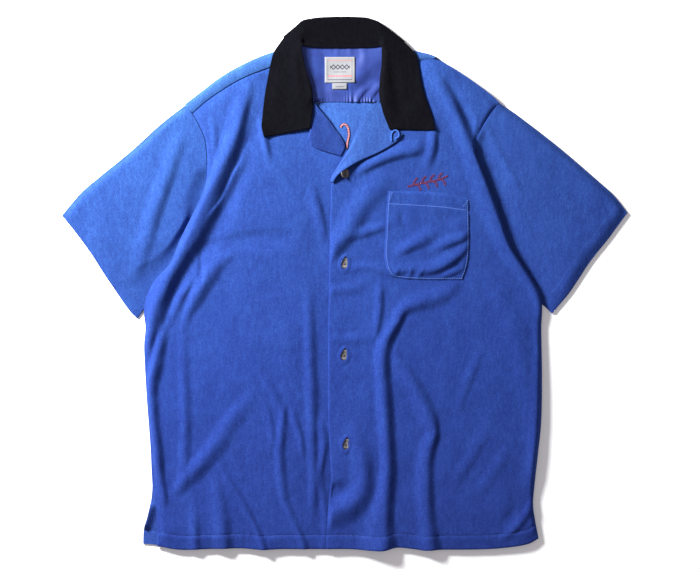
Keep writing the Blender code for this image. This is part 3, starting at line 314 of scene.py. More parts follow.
FOLDS_POCKET = [
    [(78, 44, 0, 12, 8), (88, 51, 2.8, 15, 10), (100, 58, 3.8, 16, 12), (112, 65, 3.6, 17, 15),
     (125, 71, 2, 17, 15), (138, 74, 0, 12, 12)],
    [(126, 48, 0, 12, 8), (140, 56, 2.4, 14, 10), (154, 61, 3.2, 14, 10), (168, 66, 2.8, 13, 9),
     (180, 71, 1, 10, 6), (188, 74, 0, 8, 6)],
    [(60, 17, 0, 12, 8), (80, 19, 1.8, 14, 8), (99, 22, 2.4, 14, 8), (118, 20, 3, 16, 9),
     (134, 23, 3.8, 18, 10), (148, 30, 4, 18, 10), (160, 38, 3.3, 16, 9), (172, 48, 2, 13, 7),
     (182, 56, 0.6, 10, 6)],
    [(72, 10, 0, 5, 5), (76, 18, 1.2, 5, 5), (78, 27, 0, 5, 5)],
    [(90, 8, 0, 5, 5), (95, 16, 1.4, 5, 5), (97, 25, 0, 5, 5)],
    [(104, 8, 0, 5, 5), (109, 15, 1.4, 5, 5), (113, 25, 0, 5, 5)],
    [(136, 8, 0, 8, 6), (148, 13, 1.8, 9, 6), (160, 18, 1.8, 9, 6), (174, 25, 0, 8, 5)],
    [(86, 110, 0, 8, 8), (84, 92, -1.2, 8, 8), (89, 76, 0, 8, 8)],
    [(134, 107, 0, 10, 12), (146, 97, -1.6, 10, 12), (160, 90, 0, 10, 12)],
]
FOLDS_LINING = [
    [(-20, 282, 0, 20, 16), (-2, 292, 2, 24, 18), (18, 303, 2.6, 26, 20), (36, 317, 2.6, 26, 20),
     (54, 333, 2, 26, 20), (66, 340, 0, 20, 16)],
    [(19, 262, 0.8, 8, 4), (21, 271, 1.5, 10, 4), (28, 281, 1.2, 10, 5), (38, 288, 0, 8, 5)],
    [(35, 262, 0.6, 8, 4), (40, 274, 1.3, 10, 5), (48, 284, 1.4, 10, 5), (58, 292, 1, 8, 5)],
    [(-34, 262, 0.8, 6, 8), (-38, 284, 0.8, 8, 10), (-44, 306, 0, 8, 10)],
    [(-42, 346, 0.7, 10, 12), (-40, 320, 0.9, 10, 12), (-34, 294, 0, 10, 12)],
    [(38, 340, 0, 14, 14), (20, 304, 0.9, 16, 16), (6, 280, 0, 14, 14)],
    [(24, 346, 0.7, 8, 8), (28, 332, 0.7, 8, 8), (26, 314, 0, 8, 8)],
    [(6, 346, 0.6, 6, 6), (8, 338, 0.5, 6, 6), (7, 328, 0, 6, 6)],
    [(-12, 346, 0.6, 6, 6), (-11, 339, 0.5, 6, 6), (-12, 330, 0, 6, 6)],
]
FOLDS_COLLAR = [
    [(66, 336, 0, 12, 12), (70, 310, -2, 12, 14), (76, 270, -2.2, 12, 14), (84, 232, 0, 12, 12)],
    [(-66, 354, 0, 10, 10), (-70, 322, 1.6, 10, 10), (-66, 290, 1.6, 10, 10), (-62, 258, 0, 10, 10)],
    [(98, 336, 0, 14, 12), (106, 292, 1.6, 14, 12), (116, 244, 0, 14, 12)],
    [(-94, 324, 0, 12, 12), (-100, 272, 1.2, 12, 12), (-105, 228, 0, 12, 12)],
]
LIGHT_SIDE = Vector((-0.8, 0.6))  # the side that the light comes from

# ---------------------------------------------------------------- curves and grids


def trace(points):
    """A dense smooth line through the points."""
    knots = np.array(points, float)
    ends = np.vstack([2 * knots[0] - knots[1], knots, 2 * knots[-1] - knots[-2]])
    share = np.linspace(0, 1, KNOT_STEPS, endpoint=False)[:, None]
    runs = [0.5 * (2 * b + (c - a) * share + (2 * a - 5 * b + 4 * c - d) * share**2
                   + (3 * b - a - 3 * c + d) * share**3)
            for a, b, c, d in zip(ends, ends[1:], ends[2:], ends[3:])]
    return np.vstack(runs + [knots[-1:]])


def along(line):
    """Distance along the line, in plan, at each of its points."""
    return np.concatenate([[0], np.cumsum(np.linalg.norm(np.diff(line[:, :2], axis=0), axis=1))])


def resample(line, shares):
    """Points at the given shares of the line's length."""
    run = along(line)
    return np.stack([np.interp(shares, run / run[-1], column) for column in line.T], axis=1)


def at_height(points, height):
    return np.column_stack([np.array(points, float)[:, :2], np.full(len(points), height)])


def ladder(line, count, first=EDGE, last=EDGE):
    """Shares for points along a line: extra ones near its ends, in mm, and count even ones between."""
    length = along(line)[-1]
    inner = np.linspace(first[-1], length - last[-1], count)
    tail = [length - d for d in reversed(last[:-1])]
    return np.concatenate([[0], first[:-1], inner, tail, [length]]) / length


def edges(one, other, step, first=EDGE, last=EDGE):
    """Two opposite edges of a panel, resampled to the same number of points."""
    count = int(max(along(one)[-1], along(other)[-1]) / step)
    return [resample(line, ladder(line, count, first, last)) for line in (one, other)]


def shares_of(edge):
    run = along(edge)
    return run / run[-1]


def patch(top, bottom, left, right):
    """Grid of points, rows down and columns across, filled between four edges' points."""
    u = ((shares_of(top) + shares_of(bottom)) / 2)[None, :, None]
    v = ((shares_of(left) + shares_of(right)) / 2)[:, None, None]
    sides = (1 - u) * left[:, None] + u * right[:, None]
    ends = (1 - v) * top[None] + v * bottom[None]
    above = (1 - u) * top[0] + u * top[-1]
    below = (1 - u) * bottom[0] + u * bottom[-1]
    return sides + ends - (1 - v) * above - v * below


def seam_inset(grid, distance=GAP / 2):
    """The grid with its rim moved in, so that neighbours at a seam stand apart."""
    out = grid.copy()
    for rim, inner in ((np.s_[0, :], np.s_[1, :]), (np.s_[-1, :], np.s_[-2, :]),
                       (np.s_[:, 0], np.s_[:, 1]), (np.s_[:, -1], np.s_[:, -2])):
        run = np.gradient(grid[rim][:, :2], axis=0)
        across = np.stack([-run[:, 1], run[:, 0]], axis=1)
        across /= np.linalg.norm(across, axis=1, keepdims=True)
        inward = ((grid[inner] - grid[rim])[:, :2] * across).sum(1, keepdims=True)
        out[rim][:, :2] += across * np.sign(inward) * distance
    return out


def rim_reach(grid):
    """Distance from each point to its top, bottom, left and right rim, and the rims' heights."""
    rims = (grid[:1], grid[-1:], grid[:, :1], grid[:, -1:])
    reach = np.array([np.linalg.norm(grid[..., :2] - rim[..., :2], axis=-1) for rim in rims])
    heights = np.array([np.broadcast_to(rim[..., 2], reach.shape[1:]) for rim in rims])
    return reach, heights


def rim_blend(weights, heights):
    """How much the rims are felt at each point, and the height that they would give it."""
    rim = 1 - np.prod(1 - weights, axis=0)
    return rim, (weights * heights).sum(0) / np.maximum(weights.sum(0), 1e-6)


def soft(t):
    """A share from 0 to 1 that starts and ends gently."""
    t = np.clip(t, 0, 1)
    return t * t * (3 - 2 * t)


def ripple(x, y, size, seed):
    """Smooth random waves from -1 to 1, of about the given size."""
    table = np.random.RandomState(seed).uniform(-1, 1, (64, 64))
    u, v = x / size + 1000, y / size + 1000
    i, j = np.floor(u).astype(int), np.floor(v).astype(int)
    a, b = soft(u - i), soft(v - j)
    pick = lambda p, q: table[p % 64, q % 64]
    low = pick(i, j) * (1 - a) + pick(i + 1, j) * a
    high = pick(i, j + 1) * (1 - a) + pick(i + 1, j + 1) * a
    return low * (1 - b) + high * b


def from_stretch(x, y, a, b):
    """For points x, y: where along the stretch from a to b they are nearest to it, and the way there."""
    run = b[:2] - a[:2]
    t = np.clip(((x - a[0]) * run[0] + (y - a[1]) * run[1]) / (run @ run), 0, 1)
    return t, x - a[0] - t * run[0], y - a[1] - t * run[1]


def fold_height(x, y, folds):
    """Height of the folds at points x, y: soft ridges, with their own reach on each side."""
    total = np.zeros_like(x)
    for crest in folds:
        line = resample(trace(crest), np.linspace(0, 1, 8 * len(crest)))
        far = max(knot[i] for knot in crest for i in (3, 4)) + 1
        low, high = line[:, :2].min(0) - far, line[:, :2].max(0) + far
        near = (x > low[0]) & (x < high[0]) & (y > low[1]) & (y < high[1])
        px, py = x[near], y[near]
        lift, outer = np.zeros_like(px), (np.minimum if min(k[2] for k in crest) < 0 else np.maximum)
        for a, b in zip(line, line[1:]):
            t, dx, dy = from_stretch(px, py, a, b)
            away = np.hypot(dx, dy)
            facing = (dx * LIGHT_SIDE.x + dy * LIGHT_SIDE.y) / np.maximum(away, 1e-6)
            height, lit, shade = (a[i] + (b[i] - a[i]) * t for i in (2, 3, 4))
            reach = np.maximum(shade + (lit - shade) * soft(0.5 + 0.9 * facing), 2)
            lift = outer(lift, height * (0.5 + 0.5 * np.cos(math.pi * np.minimum(away / reach, 1))))
        total[near] += lift
    return total


def wear(x, y, amount, seed):
    """Small unevenness of cloth that has been washed and laid by hand."""
    return amount * (ripple(x, y, 46, seed) * 0.55 + ripple(x, y, 21, seed + 1) * 0.3
                     + ripple(x, y, 9, seed + 2) * 0.12)


def rounded(reach, width=3.0, drop=0.8):
    """How far a soft edge falls off, at a distance from the edge."""
    return drop * (1 - np.clip(reach / width, 0, 1)) ** 2


def seam_dip(reach, depth):
    """How far cloth is drawn down along a seam, at a distance from it."""
    return depth * np.exp(-((reach / SEAM_DROP) ** 2))


def bulge(x, y, middle, reach, height):
    """A round swell, or a hollow where its height is negative."""
    return height * np.exp(-(((x - middle[0]) / reach[0]) ** 2 + ((y - middle[1]) / reach[1]) ** 2))


def turned(reach, heights, floor, width=1.6):
    """How far a folded edge turns down towards a floor, at a distance from the edge."""
    return (heights - floor) * (1 - np.clip(reach / width, 0, 1)) ** 2


def sewn(reach, at, depth, seed, x, y):
    """A row of sewing at a distance from the edge: a groove, and puckers that cross it."""
    band = np.exp(-(((reach - at) / 1.1) ** 2))
    pucker = np.exp(-(((reach - at) / 5.0) ** 2)) * ripple(x, y, 5.5, seed) * 0.25
    return -depth * band + pucker


def hemmed(reach, depth, thicker, seed, x, y):
    """A hem's row of sewing, with the cloth below it standing higher on its turned-up layer."""
    return sewn(reach, HEM, depth, seed, x, y) + thicker * soft((HEM - reach) / 1.5)


# ---------------------------------------------------------------- objects

surfaces = {}  # of each sheet laid so far: its surface and half its wall


def add_piece(name, mesh, material, nodes=()):
    """A finished piece of the shirt that rides with it and stands for its nodes."""
    mesh.materials.append(material)
    made = bpy.data.objects.new(name, mesh)
    bpy.context.scene.collection.objects.link(made)
    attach(made, "root")
    if nodes:
        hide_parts(*nodes)
    return made


def mesh_of(name, bm):
    """A smooth mesh in metres from a bmesh in mm."""
    bmesh.ops.scale(bm, verts=bm.verts, vec=(MM, MM, MM))
    mesh = bpy.data.meshes.new(name)
    bm.to_mesh(mesh)
    bm.free()
    mesh.shade_smooth()
    return mesh


def add_wall(made, thick):
    """Thickness for a piece of cloth, half to each side of its mesh."""
    wall = made.modifiers.new("wall", "SOLIDIFY")
    wall.thickness = thick * MM
    wall.offset = 0.0
    wall.use_even_offset = False


def grid_bmesh(grid, keep=None, closed=False):
    """A bmesh grid moved onto the points, in mm. keep says which faces stay, and closed joins the
    first column to the last."""
    rows, columns = grid.shape[:2]
    bm = bmesh.new()
    bmesh.ops.create_grid(bm, x_segments=columns - 1, y_segments=rows - 1, size=0.5)
    lost = []
    if keep is not None:
        for face in bm.faces:
            spots = [(v.co.x + 0.5, 0.5 - v.co.y) for v in face.verts]
            column = round(min(x for x, _ in spots) * (columns - 1))
            row = round(min(y for _, y in spots) * (rows - 1))
            if not keep(row, column):
                lost.append(face)
    points = grid.reshape(-1, 3)
    for vert in bm.verts:
        column = round((vert.co.x + 0.5) * (columns - 1))
        row = round((0.5 - vert.co.y) * (rows - 1))
        vert.co = points[row * columns + column]
    if lost:
        bmesh.ops.delete(bm, geom=lost, context="FACES")
    if closed:
        bmesh.ops.remove_doubles(bm, verts=bm.verts, dist=JOIN)
    return bm


def sheet(name, bm, thick, material, lift=0.5, node=None):
    """A sheet of cloth from a mesh in mm: a shell with Solidify. lift is the share of the wall to
    raise it by, 0.5 for a mesh of undersides."""
    bmesh.ops.translate(bm, verts=bm.verts, vec=(0, 0, lift * thick))
    bmesh.ops.recalc_face_normals(bm, faces=bm.faces)
    surfaces[name] = (BVHTree.FromBMesh(bm), thick / 2)
    made = add_piece(name, mesh_of(name, bm), material, [node or name.removesuffix("_cloth")])
    add_wall(made, thick)


COMPASS = [(math.cos(math.radians(45 * i)), math.sin(math.radians(45 * i))) for i in range(8)]


def top_at(x, y, names, reach=0.0):
    """Highest top of the named sheets at x, y and round it, or None beside them all."""
    best = None
    around = [(0, 0)] + ([(reach * a, reach * b) for a, b in COMPASS] if reach else [])
    for name in names:
        tree, half = surfaces[name]
        for dx, dy in around:
            hit = tree.ray_cast(Vector((x + dx, y + dy, ABOVE_ALL)), Vector((0, 0, -1)))[0]
            if hit is not None and (best is None or hit.z + half > best):
                best = hit.z + half
    return best


def laid_on(grid, names, gap, reach=1.5, smooth=2):
    """The grid with its underside on the named sheets, or where it was if that is higher, and then
    smoothed as a thicker cloth would be."""
    out = grid.copy()
    for index in np.ndindex(grid.shape[:2]):
        x, y, z = grid[index]
        top = top_at(x, y, names, reach)
        out[index][2] = z if top is None else max(z, top + gap)
    return relax(out, smooth)


def relax(grid, rounds):
    """The grid with its heights evened out, a little at a time."""
    z = grid[..., 2]
    for _ in range(rounds):
        wide = np.pad(z, 1, mode="edge")
        mean = (wide[:-2, 1:-1] + wide[2:, 1:-1] + wide[1:-1, :-2] + wide[1:-1, 2:]) / 4
        z = z * 0.4 + mean * 0.6
    grid[..., 2] = z
    return grid


def flat_grid(corners, columns, rows, height):
    """A grid between four corners: upper left, upper right, lower right, lower left."""
    a, b, c, d = (np.array(p, float) for p in corners)
    u = np.linspace(0, 1, columns + 1)[None, :, None]
    v = np.linspace(0, 1, rows + 1)[:, None, None]
    plan = (1 - v) * ((1 - u) * a + u * b) + v * ((1 - u) * d + u * c)
    return np.concatenate([plan, np.full(plan.shape[:2] + (1,), height)], axis=2)


# ---------------------------------------------------------------- finishes


def material(name, colour, roughness, specular=0.3, sheen=0.0, sheen_tint=(1, 1, 1, 1)):
    """A Principled material and its node tree."""
    made = bpy.data.materials.new(name)
    made.use_nodes = True
    shader = made.node_tree.nodes["Principled BSDF"]
    shader.inputs["Base Color"].default_value = colour
    shader.inputs["Roughness"].default_value = roughness
    shader.inputs["Specular IOR Level"].default_value = specular
    shader.inputs["Sheen Weight"].default_value = sheen
    shader.inputs["Sheen Roughness"].default_value = 0.4
    shader.inputs["Sheen Tint"].default_value = sheen_tint
    return made, made.node_tree.nodes, made.node_tree.links, shader


def noise(nodes, links, vector, size, detail=3.0, rough=0.6):
    """Noise of about the given size in mm."""
    made = nodes.new("ShaderNodeTexNoise")
    made.inputs["Scale"].default_value = 1 / (size * MM)
    made.inputs["Detail"].default_value = detail
    made.inputs["Roughness"].default_value = rough
    links.new(vector, made.inputs["Vector"])
    return made.outputs["Fac"]


def mapped(nodes, links, angle=0.0, stretch=(1, 1, 1)):
    """Object coordinates, turned about Z and stretched."""
    place = nodes.new("ShaderNodeTexCoord")
    mapping = nodes.new("ShaderNodeMapping")
    mapping.inputs["Rotation"].default_value = (0, 0, angle)
    mapping.inputs["Scale"].default_value = stretch
    links.new(place.outputs["Object"], mapping.inputs["Vector"])
    return mapping.outputs["Vector"]


def combine(nodes, links, operation, *values):
    """The result of a sum of one kind on values, each a number or another node's result."""
    made = nodes.new("ShaderNodeMath")
    made.operation = operation
    for socket, value in zip(made.inputs, values):
        if isinstance(value, (int, float)):
            socket.default_value = value
        else:
            links.new(value, socket)
    return made.outputs[0]


def blend_of(nodes, links, parts):
    """Weighted sum of values."""
    total = None
    for value, weight in parts:
        part = combine(nodes, links, "MULTIPLY", value, weight)
        total = part if total is None else combine(nodes, links, "ADD", total, part)
    return total


def ramp(nodes, links, value, stops):
    made = nodes.new("ShaderNodeValToRGB")
    bar = made.color_ramp.elements
    while len(bar) < len(stops):
        bar.new(0.5)
    for element, (place, colour) in zip(bar, stops):
        element.position = place
        element.color = (*colour, 1)
    links.new(value, made.inputs["Fac"])
    return made.outputs["Color"]


def bump(nodes, links, shader, value, strength, distance):
    made = nodes.new("ShaderNodeBump")
    made.inputs["Strength"].default_value = strength
    made.inputs["Distance"].default_value = distance * MM
    links.new(value, made.inputs["Height"])
    links.new(made.outputs["Normal"], shader.inputs["Normal"])


DEEP, MID, LIGHT = (0.0148, 0.0405, 0.184), (0.0213, 0.06, 0.244), (0.0295, 0.088, 0.312)
# Painted light: the cloth's colour is made darker and more violet towards the hem and lighter and greener
# towards the shoulders, standing in for the key light falling off away from the upper left.
LIGHT_FALLOFF_WAY = (-0.15, 0.95, 0.0)  # the way towards the light, along which the painted light changes
LIGHT_FALLOFF_TINTS = [(0.0, (0.85, 0.62, 0.86)), (0.4, (0.8, 0.69, 0.91)),  # hem, middle
             (0.65, (0.91, 0.83, 0.95)), (1.0, (1.38, 1.34, 1.24))]  # chest, shoulders


def napped_cloth(name, angle, shade=(1.0, 1.0, 1.0)):
    """Short pile, brushed by hand: strokes of lighter and darker nap over a fine grain. Painted light: the
    colour is made lighter and greener towards the shoulders and darker and more violet towards the hem,
    standing in for the key light's falloff. shade multiplies the tones, for a copy of the cloth that is
    painted lighter or darker than the body's."""
    deep, mid, light = (tuple(a * b for a, b in zip(tone, shade)) for tone in (DEEP, MID, LIGHT))
    made, nodes, links, shader = material(name, (*mid, 1), 0.95, 0.08, 0.1, (0.35, 0.65, 1, 1))
    strokes = mapped(nodes, links, angle, (1.0, 0.35, 1.0))
    even = mapped(nodes, links)
    patches = noise(nodes, links, strokes, 22, 3, 0.55)
    brushed = noise(nodes, links, strokes, 4.5, 3, 0.6)
    grain = noise(nodes, links, mapped(nodes, links, angle, (1.0, 0.6, 1.0)), 1.6, 2, 0.7)
    tone = blend_of(nodes, links, [(patches, 0.2), (brushed, 0.3), (grain, 0.5)])
    colour = ramp(nodes, links, tone, [(0.36, deep), (0.5, mid), (0.64, light)])
    # Painted light: this tint darkens the colour towards the hem and lightens it towards the shoulders.
    toward_light = nodes.new("ShaderNodeVectorMath")
    toward_light.operation = "DOT_PRODUCT"
    links.new(even, toward_light.inputs[0])
    toward_light.inputs[1].default_value = LIGHT_FALLOFF_WAY
    tint = ramp(nodes, links, combine(nodes, links, "ADD", toward_light.outputs["Value"], 0.5), LIGHT_FALLOFF_TINTS)
    mix = nodes.new("ShaderNodeMix")
    mix.data_type = "RGBA"
    mix.blend_type = "MULTIPLY"
    mix.inputs["Factor"].default_value = 1.0
    links.new(colour, mix.inputs["A"])
    links.new(tint, mix.inputs["B"])
    links.new(mix.outputs["Result"], shader.inputs["Base Color"])
    pile = blend_of(nodes, links, [(grain, 0.7), (brushed, 0.3)])
    bump(nodes, links, shader, pile, 0.6, 0.9)
    return made


def felt(name):
    """Black brushed cloth, almost without sheen."""
    made, nodes, links, shader = material(name, (0.003, 0.0028, 0.0045, 1), 1.0, 0.05, 0.03,
                                          (0.6, 0.6, 0.75, 1))
    even = mapped(nodes, links)
    brushed = noise(nodes, links, mapped(nodes, links, 0.4, (1, 0.5, 1)), 4, 4, 0.65)
    grain = noise(nodes, links, even, 1.0, 2, 0.6)
    tone = blend_of(nodes, links, [(brushed, 0.6), (grain, 0.4)])
    colour = ramp(nodes, links, tone, [(0.35, (0.0018, 0.0016, 0.003)), (0.65, (0.004, 0.0038, 0.006))])
    links.new(colour, shader.inputs["Base Color"])
    bump(nodes, links, shader, tone, 0.5, 0.6)
    return made


def satin(name):
    """Smooth lining with fine threads across its shine."""
    made, nodes, links, shader = material(name, (0.03, 0.05, 0.28, 1), 0.5, 0.22)
    shader.inputs["Anisotropic"].default_value = 0.3
    fine = noise(nodes, links, mapped(nodes, links, 0, (1, 0.05, 1)), 0.5, 1, 0.5)
    cloud = noise(nodes, links, mapped(nodes, links), 18, 3, 0.5)
    tone = blend_of(nodes, links, [(fine, 0.35), (cloud, 0.65)])
    colour = ramp(nodes, links, tone, [(0.35, (0.02, 0.034, 0.175)), (0.65, (0.03, 0.058, 0.255))])
    links.new(colour, shader.inputs["Base Color"])
    bump(nodes, links, shader, fine, 0.15, 0.1)
    return made


def shell_look(name):
    """Grey-brown swirls with a low polish."""
    made, nodes, links, shader = material(name, (0.135, 0.122, 0.112, 1), 0.45, 0.35)
    swirl = noise(nodes, links, mapped(nodes, links, 0.5, (1, 0.35, 1)), 3.5, 3, 0.6)
    colour = ramp(nodes, links, swirl, [(0.3, (0.06, 0.055, 0.04)), (0.5, (0.135, 0.122, 0.112)),
                                        (0.75, (0.22, 0.2, 0.205))])
    links.new(colour, shader.inputs["Base Color"])
    return made


def thread(name, colour, lighter):
    """Twisted thread, of two tones."""
    made, nodes, links, shader = material(name, (*colour, 1), 0.6, 0.3, 0.2, (1, 1, 1, 1))
    twist = noise(nodes, links, mapped(nodes, links, 0.6, (1, 0.3, 1)), 0.8, 2, 0.5)
    links.new(ramp(nodes, links, twist, [(0.35, colour), (0.65, lighter)]), shader.inputs["Base Color"])
    return made


LABEL_MIDDLE = -7.0
LABEL_WHITES = (0.21, 0.21, 0.22), (0.29, 0.29, 0.3)
RED, PALE_RED = (0.5, 0.1, 0.11), (0.4, 0.17, 0.18)
INK, GREY = (0.03, 0.03, 0.05), (0.1, 0.1, 0.12)
# Woven rows: y, half its height, middle, half its width, whether it is dashed, colour
WOVEN_ROWS = ((325.2, 0.8, LABEL_MIDDLE, 17.5, True, PALE_RED),
              (302.2, 1.0, LABEL_MIDDLE, 17.5, True, RED),
              (308.2, 0.5, LABEL_MIDDLE, 9, True, INK),
              (296.9, 0.7, LABEL_MIDDLE, 17.5, False, GREY),
              (286.6, 0.6, -7.5, 6, False, GREY))  # the last is on the size tab
DASH, DASH_GAP = 1.1, 0.35
DIAMOND_Y, DIAMOND, DIAMOND_SHIFT = 315.3, 3.2, 0.4


def woven_label(name):
    """White tape with a plain woven pattern: a row of dark diamonds in a thin frame, between red and
    grey rows."""
    made, nodes, links, shader = material(name, (*LABEL_WHITES[0], 1), 0.75, 0.25)
    split = nodes.new("ShaderNodeSeparateXYZ")
    links.new(mapped(nodes, links), split.inputs[0])
    across, up = split.outputs["X"], split.outputs["Y"]
    weave = noise(nodes, links, mapped(nodes, links, 0, (1, 0.3, 1)), 0.5, 1, 0.5)

    def of(operation, *values):
        return combine(nodes, links, operation, *values)

    def band(value, centre, half):
        return of("COMPARE", value, centre * MM, half * MM)

    dashes = of("GREATER_THAN", of("PINGPONG", across, DASH * MM), DASH_GAP * MM)
    teeth = of("PINGPONG", of("ADD", across, DIAMOND_SHIFT * MM), DIAMOND * MM)
    depth = of("ABSOLUTE", of("SUBTRACT", up, DIAMOND_Y * MM))
    diamonds = of("MULTIPLY", band(of("SUBTRACT", depth, teeth), 0, 0.9), band(across, LABEL_MIDDLE, 14.4))
    sides = of("MULTIPLY", of("ADD", band(across, -24.6, 0.35), band(across, 10.6, 0.35)),
               band(up, 311, 15.5))
    masks = []
    for y, tall, middle, wide, dashed, tint in WOVEN_ROWS:
        row = of("MULTIPLY", band(up, y, tall), band(across, middle, wide))
        masks.append((of("MULTIPLY", row, dashes) if dashed else row, tint))
    colour = ramp(nodes, links, weave, list(zip((0.3, 0.7), LABEL_WHITES)))
    for mask, tint in masks + [(sides, GREY), (diamonds, INK)]:
        mix = nodes.new("ShaderNodeMix")
        mix.data_type = "RGBA"
        links.new(mask, mix.inputs["Factor"])
        links.new(colour, mix.inputs["A"])
        mix.inputs["B"].default_value = (*tint, 1)
        colour = mix.outputs["Result"]
    links.new(colour, shader.inputs["Base Color"])
    bump(nodes, links, shader, weave, 0.3, 0.15)
    return made


# ---------------------------------------------------------------- panels

ARM_RIGHT, ARM_LEFT = trace(ARMHOLE_RIGHT), trace(ARMHOLE_LEFT)


def arm_part(line, first, last):
    """The stretch of an armhole between two of its knots."""
    return line[first * KNOT_STEPS:last * KNOT_STEPS + 1]


def arm_heights(part, start, end):
    """An armhole's stretch with its height going from start to end."""
    return np.column_stack([part, start + (end - start) * shares_of(part)])


def panel_heights(grid, air, rolls, holds, folds, calm, seed, amount):
    """Underside heights of a panel from its edges, the air in it, its folds and its wear. calm is
    how far in from each edge the folds take to reach their full height."""
    reach, heights = rim_reach(grid)
    rolls, holds = (np.array(v, float)[:, None, None] for v in (rolls, holds))
    weights = np.exp(-((np.maximum(reach - holds, 0) / rolls) ** 2))
    rim, rim_height = rim_blend(weights, heights)
    x, y = grid[..., 0], grid[..., 1]
    lift = fold_height(x, y, folds) + wear(x, y, amount, seed)
    for distance, width in zip(reach, calm):
        lift = lift * (soft(distance / width) if width else 1)
    grid[..., 2] = air * (1 - rim) + rim_height * rim + lift
    return reach


NECK_SWELL = ((0, 212), (36, 34), 2.4)  # of the back, where it shows in the neck: middle, reach, height
SLIT_TOP, SLIT_FOOT, SLIT_LIFT = -314, -356, 5.5  # the back's raised edge in the side slit
LOW_HOLLOW = ((0, -292), (28, 30), -2.6)  # in the right front, below the lowest button
BUTTON_SWELL = ((13, 15), 0.6)  # of the left front round a button: reach, height
BUTTON_DIP, DIP_SHIFT = ((7.5, 9.5), -1.6), 1.5  # under the lips of a buttonhole, and how far up


def make_back(blue):
    """The back, of which the neck and the side slits show."""
    top, hem = edges(trace(at_height(BACK_YOKE_SEAM, LOWER)), trace(at_height(BACK_HEM, LOWER)), 4.0)
    sides = [np.vstack([at_height(arm_part(arm, AT_BACK_SEAM, len(knots) - 2), LOWER),
                        trace(at_height(side, LOWER))])
             for arm, knots, side in ((ARM_RIGHT, ARMHOLE_RIGHT, BACK_SIDE_RIGHT),
                                      (ARM_LEFT, ARMHOLE_LEFT, BACK_SIDE_LEFT))]
    right, left = edges(*sides, 4.0, last=HEM_EDGE)
    grid = patch(top, hem, right, left)
    reach, _ = rim_reach(grid)
    x, y = grid[..., 0], grid[..., 1]
    grid[..., 2] = 0.4 + np.clip(sewn(reach[1], HEM, 0.4, 3, x, y), -0.4, 0.3)
    grid[..., 2] += bulge(x, y, *NECK_SWELL)
    grid[..., 2] += (SLIT_LIFT * (1 - soft(reach[2] / 13)) * soft((SLIT_TOP - y) / 10)
                     * soft((y - SLIT_FOOT) / 5))
    sheet("back_cloth", grid_bmesh(seam_inset(grid)), CLOTH, blue)


# The stretch in x of each shoulder that turns over to the front, and the seam that it meets
SHOULDERS = ((-300, -64, YOKE_SEAM_RIGHT), (56, 135, YOKE_SEAM_LEFT[:4]))
SHOULDER_ROLL, SHOULDER_PUFF = 1.6, 1.3  # how far the turn stands out, and how far the strip swells


def make_yoke(blue):
    """Upper back, with a strip over each shoulder down to the front seam."""
    line = trace(at_height(SHOULDER_LINE, LOWER))
    top, seam = edges(line, trace(at_height(BACK_YOKE_SEAM, LOWER)), 3.0)
    right, left = edges(at_height(arm_part(ARM_RIGHT, 0, AT_BACK_SEAM), LOWER),
                        at_height(arm_part(ARM_LEFT, 0, AT_BACK_SEAM), LOWER), 3.0)
    under = seam_inset(patch(top, seam, right, left))
    bm = grid_bmesh(under)
    edge = under[0, :, :2]
    for low, high, path in SHOULDERS:
        shoulders = edge[(edge[:, 0] > low) & (edge[:, 0] < high)]
        seam = resample(trace(path), shares_of(shoulders))
        strip = grid_bmesh(shoulder_strip(shoulders, seam))
        extra = bpy.data.meshes.new("strip")
        strip.to_mesh(extra)
        strip.free()
        bm.from_mesh(extra)
        bpy.data.meshes.remove(extra)
    bmesh.ops.remove_doubles(bm, verts=bm.verts, dist=JOIN)
    sheet("yoke_cloth", bm, CLOTH, blue)


def shoulder_strip(shoulders, seam):
    """The yoke's turn over the shoulder: a round fold from the table up and on to the front."""
    across = seam[:, :2] - shoulders
    width = np.linalg.norm(across, axis=1, keepdims=True)
    inward = across / width
    height = seam[:, 2:]
    rows = [np.hstack([shoulders, LOWER * height])]
    for turn in np.linspace(0.12, 1, 8) * math.pi:
        out = SHOULDER_ROLL * math.sin(turn) - 1.2 * (1 - math.cos(turn))
        rows.append(np.hstack([shoulders - inward * out, height * 0.5 * (1 - math.cos(turn))]))
    for share in np.linspace(0.16, 1, 12):
        line = shoulders + inward * (width - 0.8) * share
        puff = SHOULDER_PUFF * math.sin(math.pi * share) * np.clip(height - 2, 0, 1)
        rows.append(np.hstack([line, height + puff - (0.3 if share == 1 else 0)]))
    return np.array(rows)


GATHER, GATHER_HEIGHT = 5.6, 2.0  # width and height of the lining's gathers
GATHERED = 50  # half the width that is gathered
GATHER_SWAY = 31  # distance over which the gathers bunch up and spread again
LINING_RISE, RISE_REACH, SIDE_SLANT = 8.5, 31, 0.171  # of its right side, which slants


